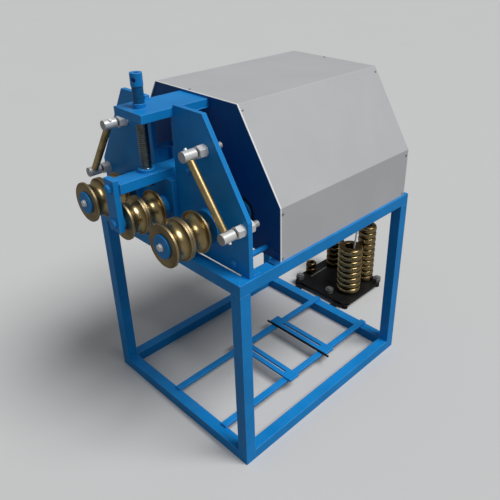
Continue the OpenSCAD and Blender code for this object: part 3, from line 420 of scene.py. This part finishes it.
@kept
def cast_brass(name, stacked=False):
    """Brass of the spare rolls and the sleeves, dulled by handling.

    A stack is brown between its rings as painted shade, and the stacks on the left are brown all over."""
    look = Finish(name)
    film = look.band(look.noise(24, 3, 0.55), 0.35, 0.85)
    grain = look.noise(200, 2, 0.5)
    rough = 0.33 + film * 0.1
    if stacked:
        spot = look.place()
        rings_up = (look.part(spot, HIGH) - RACK_TOP) / RING
        share = look.node("ShaderNodeMath", {"operation": "FRACT"}, {0: rings_up})
        # Painted shade in the crevices between stacked rings
        gap = look.band(look.size(share - 0.5), 0.36, 0.48)
        # Stacks left of x = -0.1 m are darkened all over
        on_left = 1 - look.band(look.part(spot, ACROSS), -0.13, -0.10)
        rough = 0.17 + film * 0.05 + gap * 0.2
        film = (film * 0.3 + 0.3 + gap * 1.2 + on_left * 0.6).clamped()
    share_brown, relief = (0.95, 0.0001) if stacked else (0.6, 0.00001)
    tone = look.mix(film * share_brown, tuple(colours().brass), tuple(colours().tarnish_and_shade))
    return look.set(Base_Color=tone, Metallic=1.0, Roughness=rough, Normal=look.bump(grain, 0.02, relief))


@kept
def plated_steel(name, head=None, shaded_below=None):
    """Bright zinc on studs and nuts, with grey handling marks.

    head is the depth where a stud's head ends and painted shade starts on its neck.
    Below the height shaded_below the zinc is darkened as painted shade."""
    look = Finish(name)
    base = tuple(colours().steel)
    mark = look.band(look.noise(60, 4, 0.62), 0.38, 0.75)
    grain = look.noise(1100, 2, 0.55)
    tone = look.mix(mark * 0.4, base, toned(base, 0.6))
    spot = look.place()
    if head is not None:
        # Painted shade on the neck between head and nut, fading where the thread starts, and on the head's
        # front face
        deep = look.part(spot, DEEP)
        end_face = look.band(0 - look.part(look.outward(), DEEP), 0.9, 0.98)
        thread = head + STUD_NECK
        neck = look.band(deep, head, head + 0.0006) - look.band(deep, thread, thread + 2 * MM) * 0.5
        tone = look.mix((neck * 0.97 + end_face * 0.5).clamped(), tone, (0.045, 0.042, 0.04))
    if shaded_below is not None:
        # Painted shade on the low rack nuts and strip, mottled by the marks
        below = 1 - look.band(look.part(spot, HIGH), shaded_below - 10 * MM, shaded_below)
        tone = look.mix(below * (0.72 + mark * 0.2), tone, (0.03, 0.028, 0.026))
    return look.set(Base_Color=tone, Metallic=0.45, Roughness=0.34 + mark * 0.16,
                    Normal=look.bump(grain, 0.08, 0.0001, look.rounded(0.0008)))


@kept
def oiled_steel(name):
    """Dark steel with an oil film, for shafts, sprockets, chain and screws."""
    look = Finish(name)
    film = look.band(look.noise(45, 4, 0.6), 0.35, 0.8)
    grain = look.noise(800, 2, 0.6)
    tone = look.mix(film, (0.30, 0.31, 0.33), (0.13, 0.12, 0.115))
    return look.set(Base_Color=tone, Metallic=1.0, Roughness=0.28 + film * 0.2,
                    Normal=look.bump(grain, 0.15, 0.0003, look.rounded(0.0006)))


@kept
def thread_steel(name):
    """Ground steel of the feed screw, grey with grease."""
    look = Finish(name)
    film = look.band(look.noise(70, 3, 0.6), 0.4, 0.8)
    tone = look.mix(film * 0.6, (0.17, 0.19, 0.19), (0.07, 0.07, 0.06))
    return look.set(Base_Color=tone, Metallic=1.0, Roughness=0.24 + film * 0.15,
                    Normal=look.bump(look.noise(500, 2, 0.5), 0.05, 0.0001))


@kept
def black_rubber(name):
    """Soft black rubber with a faint grain."""
    look = Finish(name)
    cloud = look.noise(60, 3, 0.6)
    tone = look.mix(cloud, (0.008, 0.008, 0.009), (0.022, 0.022, 0.024))
    return look.set(Base_Color=tone, Roughness=0.55 + cloud * 0.2,
                    Normal=look.bump(look.noise(900, 2, 0.5), 0.2, 0.0003))


# Mesh making


def facing(place, axis):
    """Matrix that puts local +Z on axis at place."""
    turn = Vector(axis).to_track_quat("Z", "Y").to_matrix().to_4x4()
    return Matrix.Translation(Vector(place)) @ turn


class Shape:
    """Collects the corners and faces of one piece."""

    def __init__(self):
        self.corners = []
        self.faces = []

    def loops(self, loops, caps=(True, True)):
        """Joins closed loops of equal length with quads, and closes the ends."""
        start = len(self.corners)
        count = len(loops[0])
        for loop in loops:
            self.corners.extend(loop)
        for row in range(len(loops) - 1):
            for i in range(count):
                j = (i + 1) % count
                first = start + row * count
                self.faces.append((first + i, first + j, first + count + j, first + count + i))
        if caps[0]:
            self.faces.append(tuple(start + i for i in reversed(range(count))))
        if caps[1]:
            last = start + (len(loops) - 1) * count
            self.faces.append(tuple(last + i for i in range(count)))

    def turned(self, matrix, profile, segments=48, ring=False):
        """Revolves (radius, height) points about the matrix's Z; ring joins the last to the first."""
        loops = []
        points = profile + [profile[0]] if ring else profile
        for radius, height in points:
            loops.append([matrix @ Vector((radius * math.cos(angle), radius * math.sin(angle), height))
                          for angle in (2 * math.pi * i / segments for i in range(segments))])
        self.loops(loops, caps=(not ring, not ring))

    def hexagon(self, matrix, flats, height, low=False):
        """Hexagonal head or nut with turned chamfers; low also chamfers its foot."""
        steps = 60
        inner = flats / 2 * 0.96
        outer = flats / 2 / math.cos(math.pi / 6)
        drop = (outer - inner) * 0.55
        heights = [0, drop * 0.35, drop * 0.7, drop] if low else [0]
        heights += [height - drop, height - drop * 0.7, height - drop * 0.35, height]
        loops = []
        for level in heights:
            rise = max(0, 1 - (height - level) / drop, (1 - level / drop) if low else 0)
            limit = outer + (inner - outer) * rise
            loop = []
            for i in range(steps):
                angle = 2 * math.pi * i / steps
                edge = flats / 2 / math.cos((angle + math.pi / 6) % (math.pi / 3) - math.pi / 6)
                reach = min(edge, limit)
                loop.append(matrix @ Vector((reach * math.cos(angle), reach * math.sin(angle), level)))
            loops.append(loop)
        self.loops(loops)

    def washer(self, matrix, radius, thickness):
        """Plain washer with broken edges."""
        edge = thickness * 0.2
        self.turned(matrix, [(radius - edge, 0), (radius, edge),
                             (radius, thickness - edge), (radius - edge, thickness)])

    def bead(self, start, end, lean, radius):
        """Rippled weld bead from start to end; lean points out of the corner it fills."""
        start, end, lean = Vector(start), Vector(end), Vector(lean).normalized()
        step, ripple, sides = 0.0011, 0.0034, 10
        run = end - start
        side = run.normalized().cross(lean)
        steps = max(6, int(run.length / step))
        loops = []
        for row in range(steps + 1):
            share = row / steps
            wave = 0.14 * abs(math.sin(share * run.length / ripple)) + 0.05 * math.sin(share * 37)
            swell = radius * (0.86 + wave)
            swell *= 0.55 if row in (0, steps) else 1
            centre = start + run * share
            loops.append([centre + (lean * math.cos(angle) + side * math.sin(angle)) * swell
                          for angle in (2 * math.pi * i / sides for i in range(sides))])
        self.loops(loops)

    def piece(self, name, material, body, stands_for=()):
        """Makes the object, with its finish, its body and the CAD nodes that it stands for."""
        mesh = bpy.data.meshes.new(name)
        mesh.from_pydata([tuple(corner) for corner in self.corners], [], self.faces)
        mesh.update()
        mesh.materials.append(material)
        mesh.shade_smooth()
        mesh.set_sharp_from_angle(angle=SHARP)
        made = bpy.data.objects.new(name, mesh)
        bpy.context.scene.collection.objects.link(made)
        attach(made, body)
        if stands_for:
            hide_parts(*stands_for)


def finish_nodes(material, *names):
    """Puts a finish on CAD pieces."""
    for name in names:
        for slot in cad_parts[name].material_slots:
            slot.material = material


def box_of(name):
    """Low and high corner of a CAD piece."""
    low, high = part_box(name)
    return Vector(low), Vector(high)


def blue():
    """Paint of the stand and the head."""
    return paint("blue_enamel", "blue", 0.30, 1.0)


# Operators


class RollerOperator:
    """What the operators share."""

    bl_options = {"REGISTER", "UNDO"}


class OBJECT_OT_roller_stage(RollerOperator, Operator):
    """Camera, soft light and plain floor"""
    bl_idname = "object.roller_stage"
    bl_label = "Stage"

    def execute(self, context):
        stage = context.scene.roller_stage
        scene = context.scene
        scene.view_settings.view_transform = "Standard"
        turn, tilt, roll = stage.azimuth, stage.elevation, stage.roll
        back = Vector((math.sin(turn) * math.cos(tilt), -math.cos(turn) * math.cos(tilt), math.sin(tilt)))
        right = (-back).cross(Vector((0, 0, 1))).normalized()
        up = right.cross(-back)
        right, up = (right * math.cos(roll) + up * math.sin(roll),
                     up * math.cos(roll) - right * math.sin(roll))
        sensor, picture, reach = 36, 500, 40
        lens = bpy.data.cameras.new("camera")
        lens.lens, lens.sensor_width = stage.lens, sensor
        lens.shift_x, lens.shift_y = -31.2 / picture, -29.2 / picture
        lens.clip_end = 100
        camera = bpy.data.objects.new("camera", lens)
        camera.matrix_world = Matrix.Translation(Vector(stage.place)) @ Matrix(
            (right, up, back)).transposed().to_4x4()
        scene.collection.objects.link(camera)
        scene.camera = camera

        for name, strength, angle, towards in (
                ("key_light", stage.key, 30, (0.50, 0.16, 0.85)),
                ("fill_light", stage.key * 0.02, 60, (-0.35, -0.85, 0.45))):
            lamp = bpy.data.lights.new(name, "SUN")
            lamp.energy, lamp.angle = strength, math.radians(angle)
            light = bpy.data.objects.new(name, lamp)
            light.matrix_world = facing((0, 0, 4), towards)
            scene.collection.objects.link(light)

        room = Finish("room", world=True)
        seen = room.node("ShaderNodeLightPath", {}, {}, out="Is Camera Ray")
        even = toned((0.93, 0.96, 1.0), stage.sky)
        scene.world = room.set(Color=room.mix(seen, even, tuple(stage.floor)))

        floor = Finish("pale_floor")
        cloud = floor.noise(1.2, 3, 0.5)
        tone = floor.mix(cloud, toned(stage.floor, 0.97), tuple(stage.floor))
        seen = floor.node("ShaderNodeLightPath", {}, {}, out="Is Camera Ray")
        mirrored = floor.node("ShaderNodeLightPath", {}, {}, out="Is Glossy Ray")
        shown = (seen + mirrored * 0.12).clamped()
        tone = floor.mix(shown, toned(stage.floor, stage.bounce), tone)
        floor.set(Base_Color=tone, Roughness=0.85)
        ground = bpy.data.meshes.new("floor")
        corners = [(-reach, -reach, 0), (reach, -reach, 0), (reach, reach * 1.5, 0), (-reach, reach * 1.5, 0)]
        ground.from_pydata(corners, [], [(0, 1, 2, 3)])
        ground.materials.append(floor.material)
        plane = bpy.data.objects.new("floor", ground)
        scene.collection.objects.link(plane)
        return {"FINISHED"}


class OBJECT_OT_roller_stand(RollerOperator, Operator):
    """Tube stand with its weld beads"""
    bl_idname = "object.roller_stand"
    bl_label = "Stand"

    def execute(self, context):
        weld = context.scene.roller_detail.bead
        tubes = ("leg_", "top_rail_", "base_rail_")
        finish_nodes(blue(), *[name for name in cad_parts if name.startswith(tubes)])
        rail = box_of("base_rail_front")[1].z
        welds = Shape()
        for name in ("leg_front_left", "leg_front_right", "leg_rear_left", "leg_rear_right"):
            low, high = box_of(name)
            mid = (low + high) / 2
            inward_x = -math.copysign(1, mid.x)
            inward_y = 1 if "front" in name else -1
            inner_x = low.x if inward_x < 0 else high.x
            inner_y = high.y if inward_y > 0 else low.y
            for z, way in ((rail, 1), (high.z, -1)):
                welds.bead((inner_x, low.y, z), (inner_x, high.y, z), (inward_x, 0, way), weld)
                welds.bead((low.x, inner_y, z), (high.x, inner_y, z), (0, inward_y, way), weld)
        welds.piece("stand_welds", blue(), "machine")
        return {"FINISHED"}


class OBJECT_OT_roller_bed(RollerOperator, Operator):
    """Bars and slotted rails low in the stand"""
    bl_idname = "object.roller_bed"
    bl_label = "Bed bars"

    def execute(self, context):
        weld = context.scene.roller_detail.bead
        finish_nodes(blue(), "bed_bar_left", "bed_bar_right", "slot_rail_front", "slot_rail_rear")
        finish_nodes(paint("black_enamel", "black", 0.35, 0.4, 0.3), "bed_rod")
        welds = Shape()
        for rail, sides in (("slot_rail_front", (0, 1)), ("slot_rail_rear", (1,))):
            edges = box_of(rail)
            z = edges[0].z
            for bar in ("bed_bar_left", "bed_bar_right"):
                low, high = box_of(bar)
                for side in sides:
                    y = edges[side].y
                    welds.bead((low.x, y, z), (high.x, y, z), (0, side * 2 - 1, 0.4), weld * 0.8)
        for bar in ("bed_bar_left", "bed_bar_right"):
            low, high = box_of(bar)
            edge = box_of("base_rail_front")[1].y
            welds.bead((low.x, low.y, low.z), (high.x, low.y, low.z), (0, -1, 0.6), weld * 0.8)
            welds.bead((low.x, low.y, low.z), (low.x, edge, low.z), (-1, 0, 0.6), weld * 0.8)
            welds.bead((high.x, low.y, low.z), (high.x, edge, low.z), (1, 0, 0.6), weld * 0.8)
        welds.piece("bed_welds", blue(), "machine")
        return {"FINISHED"}


class OBJECT_OT_roller_plates(RollerOperator, Operator):
    """Front, back and top plates with the slide guides"""
    bl_idname = "object.roller_plates"
    bl_label = "Head plates"

    def execute(self, context):
        weld = context.scene.roller_detail.bead
        finish_nodes(blue(), "front_plate", "top_plate", "screw_nut", "tie_bars", "slide_guides",
                     "front_bearings", "back_bearings")
        finish_nodes(paint("navy_enamel", "navy", 0.42, 0.6), "back_plate")
        finish_nodes(black_rubber("seal_rubber"), "bearing_seals")
        low, high = box_of("top_plate")
        back_y = high.y
        # Start and end of the bead on each side of the top plate, from its front, and length of the one below
        weld_from, weld_to, under = 107 * MM, 120 * MM, 115 * MM
        welds = Shape()
        for hand in (-1, 1):
            x = high.x * hand
            welds.bead((x, low.y + weld_from, high.z), (x, low.y + weld_to, high.z), (hand, 0, 1), weld)
            welds.bead((x, back_y - under, low.z), (x, back_y, low.z), (hand, 0, -0.6), weld * 0.7)
        welds.bead((low.x, back_y, high.z), (high.x, back_y, high.z), (0, -1, 1), weld)
        welds.piece("head_welds", blue(), "machine")
        return {"FINISHED"}


class OBJECT_OT_roller_cover(RollerOperator, Operator):
    """Sheet cover, rear panel, their screws and the cable gland"""
    bl_idname = "object.roller_cover"
    bl_label = "Cover"

    def execute(self, context):
        sheet = box_of("cover_shell")[0].y
        finish_nodes(paint("cover_enamel", "cover", 0.45, 1.0, 0.25, round(sheet, 5)), "cover_shell")
        finish_nodes(paint("panel_enamel", "cover", 0.45, 1.0, 0.25), "rear_panel")
        finish_nodes(black_rubber("gland_rubber"), "cable_gland")
        shell_low, shell_high = box_of("cover_shell")
        screws = Shape()
        x_mid, x_top, x_side = -29 * MM, 193 * MM, shell_high.x
        z_top, z_bend = shell_high.z, shell_low.z + 177 * MM
        run = Vector((x_side - x_top, 0, z_bend - z_top)).normalized()
        out = Vector((-run.z, 0, run.x))
        spots = [(Vector((x_mid, 0, z_top)), Vector((0, 0, 1)))]
        for hand in (-1, 1):
            on_slope = Vector((x_top, 0, z_top)) + run * 20 * MM
            spots.append((Vector((hand * on_slope.x, 0, on_slope.z)), Vector((hand * out.x, 0, out.z))))
            for z in (shell_low.z + 9 * MM, z_bend - 20 * MM):
                spots.append((Vector((hand * x_side, 0, z)), Vector((hand, 0, 0))))
        dome = [(3.4 * MM, -0.2 * MM), (4.0 * MM, 0.1 * MM), (3.7 * MM, 1.1 * MM), (2.8 * MM, 1.8 * MM),
                (1.6 * MM, 2.0 * MM), (1.1 * MM, 1.2 * MM), (0.3 * MM, 1.0 * MM)]
        for y in COVER_SCREW_ROWS:
            for spot, normal in spots:
                screws.turned(facing(spot + Vector((0, y, 0)), normal), dome, 24)
        screws.piece("cover_screw_heads", oiled_steel("screw_steel"), "machine",
                     ("cover_screws",))
        return {"FINISHED"}


class OBJECT_OT_roller_rolls(RollerOperator, Operator):
    """Brass rolls on their shafts, with end discs and bolts"""
    bl_idname = "object.roller_rolls"
    bl_label = "Rolls"

    def execute(self, context):
        flats = context.scene.roller_fastener.cap_flats
        for side in ("left", "right", "middle"):
            low, high = box_of("rolls_" + side)
            mid = (low + high) / 2
            x, z, rim = round(mid.x, 4), round(mid.z, 4), round(high.x - mid.x, 5)
            finish_nodes(turned_brass("turned_brass_" + side, x, z, rim), "rolls_" + side)
        finish_nodes(oiled_steel("shaft_steel"), "shaft_left", "shaft_right")
        for side in ("left", "right"):
            body = side + "_roll"
            low, high = box_of("cap_" + side)
            mid = (low + high) / 2
            radius = (high.x - low.x) / 2
            disc = Shape()
            at = facing((mid.x, high.y, mid.z), (0, -1, 0))
            deep = high.y - low.y
            edge = 1.2 * MM
            disc.turned(at, [(9.8 * MM, 0), (radius, 0), (radius, deep - edge), (radius - edge, deep),
                             (15 * MM, deep), (14.4 * MM, deep - 0.7 * MM), (9.8 * MM, deep - 0.7 * MM)],
                        64, ring=True)
            disc.turned(at, [(9.9 * MM, 0.2 * MM), (9.9 * MM, deep - 0.8 * MM)], 48)
            disc.piece("end_disc_" + side, blue(), body, ("cap_" + side,))
            low, high = box_of("cap_bolt_" + side)
            head, thick = 8 * MM, 1.6 * MM
            seat = low.y + head
            bolt = Shape()
            bolt.washer(facing((mid.x, seat, mid.z), (0, -1, 0)), 12 * MM, thick)
            bolt.hexagon(facing((mid.x, seat - thick, mid.z), (0, -1, 0)), flats, head - thick)
            bolt.piece("end_bolt_" + side, plated_steel("bolt_zinc"), body,
                       ("cap_bolt_" + side,))
        return {"FINISHED"}


class OBJECT_OT_roller_yoke(RollerOperator, Operator):
    """Yoke that carries the middle roll"""
    bl_idname = "object.roller_yoke"
    bl_label = "Yoke"

    def execute(self, context):
        weld = context.scene.roller_detail.bead
        flats = context.scene.roller_fastener.yoke_flats
        finish_nodes(blue(), "yoke_beam", "yoke_front_arm", "yoke_slide", "axle_middle")
        low, high = box_of("yoke_beam")
        arm_y = low.y
        boss_high = 12 * MM
        top = high.z - boss_high
        # Half widths of the beads at the arm and along the slide's wings, and the depths of the latter
        near, wide = 24 * MM, 30 * MM
        weld_from, weld_to = 26.6 * MM + STAND_FRONT, 44.6 * MM + STAND_FRONT
        beads = Shape()
        beads.bead((-near, arm_y, top), (near, arm_y, top), (0, 1, 1), weld)
        for hand in (-1, 1):
            x, y = hand * near, arm_y + 1 * MM
            beads.bead((hand * wide, weld_from, low.z), (hand * wide, weld_to, low.z), (hand, 0, -0.4), weld)
            beads.bead((x, y, low.z), (x, y, top), (hand, 0.6, 0), weld * 0.9)
        boss = Vector((0, SCREW_DEPTH, top))
        ring = [(25 * MM + weld * 0.2 + weld * 0.8 * math.cos(angle), weld * 0.8 * math.sin(angle))
                for angle in (2 * math.pi * i / 10 for i in range(10))]
        beads.turned(Matrix.Translation(boss), ring, 90, ring=True)
        beads.piece("yoke_welds", blue(), "yoke")
        bolt_low, bolt_high = box_of("yoke_bolt")
        arm_front = box_of("yoke_front_arm")[0].y
        z = (bolt_low.z + bolt_high.z) / 2
        thick = 2 * MM
        bolt = Shape()
        bolt.washer(facing((0, arm_front, z), (0, -1, 0)), 14.5 * MM, thick)
        bolt.hexagon(facing((0, arm_front - thick, z), (0, -1, 0)), flats, 8 * MM)
        bolt.piece("yoke_bolt_head", blue(), "yoke", ("yoke_bolt",))
        return {"FINISHED"}


class OBJECT_OT_roller_screw(RollerOperator, Operator):
    """Feed screw with its thread and its head"""
    bl_idname = "object.roller_screw"
    bl_label = "Feed screw"

    def execute(self, context):
        sizes = context.scene.roller_fastener
        low, high = box_of("screw_rod")
        centre = Vector((0, SCREW_DEPTH, 0))
        outer, core = 16 * MM, 16 * MM - sizes.thread
        # Height where the thin journal ends and the full rod starts
        shoulder = STAND_TOP + 247.2 * MM
        rod = Shape()
        at = Matrix.Translation(centre)
        rod.turned(at, [(20 * MM, low.z), (20 * MM, low.z + 9 * MM), (19 * MM, low.z + 10 * MM),
                        (12 * MM, low.z + 10 * MM), (12 * MM, shoulder), (outer, shoulder),
                        (outer, shoulder + 13 * MM), (core, shoulder + 14.5 * MM), (core, high.z)], 48)
        pitch, segments = sizes.pitch, 36
        turns = (high.z - shoulder - 16 * MM) / pitch
        steps = int(turns * segments)
        loops = []
        for step in range(steps + 1):
            angle = 2 * math.pi * step / segments
            z = shoulder + 15 * MM + pitch * step / segments
            ramp = min(1, step / 20, (steps - step) / 8 + 0.05)
            crest = core + (outer - core) * max(0.05, ramp)
            spoke = Vector((math.cos(angle), math.sin(angle), 0))
            section = ((core - 0.3 * MM, -0.38), (crest, -0.26), (crest, 0.26), (core - 0.3 * MM, 0.38))
            loops.append([centre + spoke * reach + Vector((0, 0, z + pitch * rise))
                          for reach, rise in section])
        rod.loops(loops)
        rod.piece("threaded_rod", thread_steel("screw_steel_ground"), "screw",
                  ("screw_rod",))
        neck = box_of("screw_head")[1].z - SCREW_HEAD
        finish_nodes(paint("screw_enamel", "blue", 0.24, 1.0, 1.0, None, round(neck, 5)), "screw_head")
        return {"FINISHED"}


class OBJECT_OT_roller_guides(RollerOperator, Operator):
    """Side guides: studs, pins, brass sleeves and nuts"""
    bl_idname = "object.roller_guides"
    bl_label = "Side guides"

    def execute(self, context):
        flats = context.scene.roller_fastener.stud_flats
        zinc = plated_steel("guide_zinc", round(box_of("guide_studs_left")[0].y + STUD_HEAD, 5))
        finish_nodes(zinc, "guide_studs_left", "guide_studs_right")
        run = Vector((STUD_LOW[0] - STUD_UP[0], 0, STUD_LOW[1] - STUD_UP[1])).normalized()
        for side, hand in (("left", -1), ("right", 1)):
            low, high = box_of("guide_sleeve_" + side)
            radius = (high.y - low.y) / 2
            half = ((high.z - low.z) / 2 - radius * abs(run.x)) / abs(run.z)
            at = facing((low + high) / 2, (run.x * hand, 0, run.z))
            bevel = 0.8 * MM
            sleeve = Shape()
            sleeve.turned(at, [(PIN_HOLE, -half), (radius - bevel, -half), (radius, -half + bevel),
                               (radius, half - bevel), (radius - bevel, half), (PIN_HOLE, half)],
                          64, ring=True)
            sleeve.piece("brass_sleeve_" + side, cast_brass("sleeve_brass"), "sleeve_" + side,
                         ("guide_sleeve_" + side,))
        thick = 3 * MM
        nuts = Shape()
        for x, z in (STUD_UP, STUD_LOW):
            for hand in (-1, 1):
                for y, way, tall in ((PLATE_FRONT, -1, 24 * MM), (PLATE_BACK, 1, 18 * MM)):
                    nuts.washer(facing((hand * x, y, z), (0, way, 0)), 18.5 * MM, thick)
                    nuts.hexagon(facing((hand * x, y + way * thick, z), (0, way, 0)), flats, tall, low=True)
        nuts.piece("guide_nut_set", plated_steel("nut_zinc"), "machine", ("guide_nuts",))
        return {"FINISHED"}


class OBJECT_OT_roller_fasteners(RollerOperator, Operator):
    """Tie bolts of the two plates"""
    bl_idname = "object.roller_fasteners"
    bl_label = "Tie bolts"

    def execute(self, context):
        sizes = context.scene.roller_fastener
        thick = 1.8 * MM
        bolts = Shape()
        for x, z in TIE_BOLTS:
            for hand in (-1, 1):
                for y, way in ((PLATE_FRONT, -1), (BACK_PLATE_REAR, 1)):
                    bolts.washer(facing((hand * x, y, z), (0, way, 0)), 12 * MM, thick)
                    bolts.hexagon(facing((hand * x, y + way * thick, z), (0, way, 0)),
                                  sizes.tie_flats, sizes.tie_head - thick)
        bolts.piece("tie_bolt_heads", blue(), "machine", ("tie_bolts",))
        return {"FINISHED"}


class OBJECT_OT_roller_drive(RollerOperator, Operator):
    """Gearbox, motor, chain and bearers under the cover"""
    bl_idname = "object.roller_drive"
    bl_label = "Drive"

    def execute(self, context):
        grey = paint("drive_enamel", "machine_grey", 0.38, 0.8)
        finish_nodes(grey, "gearbox")
        finish_nodes(blue(), "motor_bearers")
        finish_nodes(oiled_steel("chain_steel"), "chain", "drive_sprocket")
        low, high = box_of("motor")
        fins = context.scene.roller_detail.fins
        z = low.z + 84 * MM
        radius, fan = 80 * MM, 84 * MM
        front, rear = low.y, high.y
        body = Shape()
        outline = []
        for i in range(fins * 4):
            angle = 2 * math.pi * i / (fins * 4)
            reach = radius if i % 4 in (0, 1) else radius - 7 * MM
            outline.append((reach * math.cos(angle), reach * math.sin(angle)))
        body.loops([[Vector((across, y, z + up)) for across, up in outline]
                    for y in (front + 14 * MM, rear - 60 * MM)])
        end = facing((0, front, z), (0, 1, 0))
        body.turned(end, [(40 * MM, 0), (78 * MM, 0), (radius, 2 * MM), (radius, 15 * MM),
                          (60 * MM, 16 * MM)], 64)
        cowl = facing((0, rear - 60 * MM, z), (0, 1, 0))
        body.turned(cowl, [(70 * MM, 0), (fan, 0), (fan, 50 * MM), (fan - 4 * MM, 57 * MM),
                           (fan - 12 * MM, 60 * MM), (60 * MM, 60 * MM), (58 * MM, 56 * MM),
                           (50 * MM, 56 * MM), (48 * MM, 60 * MM), (38 * MM, 60 * MM), (36 * MM, 56 * MM),
                           (28 * MM, 56 * MM), (26 * MM, 60 * MM), (0.5 * MM, 60 * MM)], 64)
        box_front, box_rear = front + 55 * MM, front + 165 * MM
        loops = []
        for inset, up in ((0, 60 * MM), (0, 108 * MM), (1.5 * MM, 108.4 * MM), (1.5 * MM, 109.6 * MM),
                          (0, 110 * MM), (0, 118 * MM), (2 * MM, 120 * MM)):
            half = 45 * MM - inset
            corners = ((-half, box_front + inset), (half, box_front + inset),
                       (half, box_rear - inset), (-half, box_rear - inset))
            loops.append([Vector((x, y, z + up)) for x, y in corners])
        body.loops(loops)
        body.piece("finned_motor", grey, "machine", ("motor",))
        return {"FINISHED"}


class OBJECT_OT_roller_rack(RollerOperator, Operator):
    """Rack of spare rolls behind the stand"""
    bl_idname = "object.roller_rack"
    bl_label = "Spare rolls"

    def execute(self, context):
        finish_nodes(paint("rack_black", "black", 0.4, 0.4, 0.3), "rack_base")
        finish_nodes(plated_steel("rack_zinc", None, RACK_TOP * 2), "rack_fasteners")
        deepest = context.scene.roller_detail.ring_edge
        gap, lip, arc = 0.1 * MM, 1.2 * MM, 12
        rings = Shape()
        for share_x, share_y, radius, count in STACKS:
            radius *= MM
            bore = radius * 0.45
            deep = deepest * radius / WIDEST_STACK
            inner, outer = bore + 1.5 * MM, radius - deep - 1 * MM
            edge = [(radius - deep * (1 - math.sin(angle)), RING / 2 - (RING / 2 - lip) * math.cos(angle))
                    for angle in (math.pi * i / arc for i in range(arc + 1))]
            section = [(inner, gap), (outer, gap), *edge, (outer, RING - gap), (inner, RING - gap),
                       (bore, RING - 1.6 * MM), (bore, 1.6 * MM)]
            x, y = RACK_RIGHT - share_x * RACK_WIDE, RACK_FRONT + share_y * RACK_LONG
            for number in range(count):
                rings.turned(Matrix.Translation((x, y, RACK_TOP + number * RING)), section, 56, ring=True)
        rings.piece("spare_roll_stacks", cast_brass("spare_brass", True), "machine",
                    ("spare_rolls",))
        return {"FINISHED"}


class VIEW3D_PT_roller(Panel):
    """Lists the pieces of the ring roller"""
    bl_label = "Ring Roller"
    bl_idname = "VIEW3D_PT_roller"
    bl_space_type = "VIEW_3D"
    bl_region_type = "UI"
    bl_category = "Ring Roller"

    def draw(self, context):
        column = self.layout.column()
        for operator in OPERATORS:
            column.operator(operator.bl_idname)
        for group in ("roller_finish", "roller_fastener", "roller_detail", "roller_stage"):
            settings = getattr(context.scene, group)
            for name in settings.bl_rna.properties.keys():
                if name not in ("rna_type", "name"):
                    column.prop(settings, name)


SETTINGS = {
    "roller_finish": FinishSettings,
    "roller_fastener": FastenerSettings,
    "roller_detail": DetailSettings,
    "roller_stage": StageSettings,
}
OPERATORS = (
    OBJECT_OT_roller_stage,
    OBJECT_OT_roller_stand,
    OBJECT_OT_roller_bed,
    OBJECT_OT_roller_plates,
    OBJECT_OT_roller_cover,
    OBJECT_OT_roller_rolls,
    OBJECT_OT_roller_yoke,
    OBJECT_OT_roller_screw,
    OBJECT_OT_roller_guides,
    OBJECT_OT_roller_fasteners,
    OBJECT_OT_roller_drive,
    OBJECT_OT_roller_rack,
)


def register():
    for group in SETTINGS.values():
        bpy.utils.register_class(group)
    for operator in OPERATORS:
        bpy.utils.register_class(operator)
    bpy.utils.register_class(VIEW3D_PT_roller)
    for name, group in SETTINGS.items():
        setattr(bpy.types.Scene, name, PointerProperty(type=group))


def unregister():
    for name in SETTINGS:
        delattr(bpy.types.Scene, name)
    bpy.utils.unregister_class(VIEW3D_PT_roller)
    for operator in reversed(OPERATORS):
        bpy.utils.unregister_class(operator)
    for group in reversed(list(SETTINGS.values())):
        bpy.utils.unregister_class(group)


def main():
    register()
    for operator in OPERATORS:
        group, name = operator.bl_idname.split(".")
        getattr(getattr(bpy.ops, group), name)()


if __name__ == "__main__":
    main()
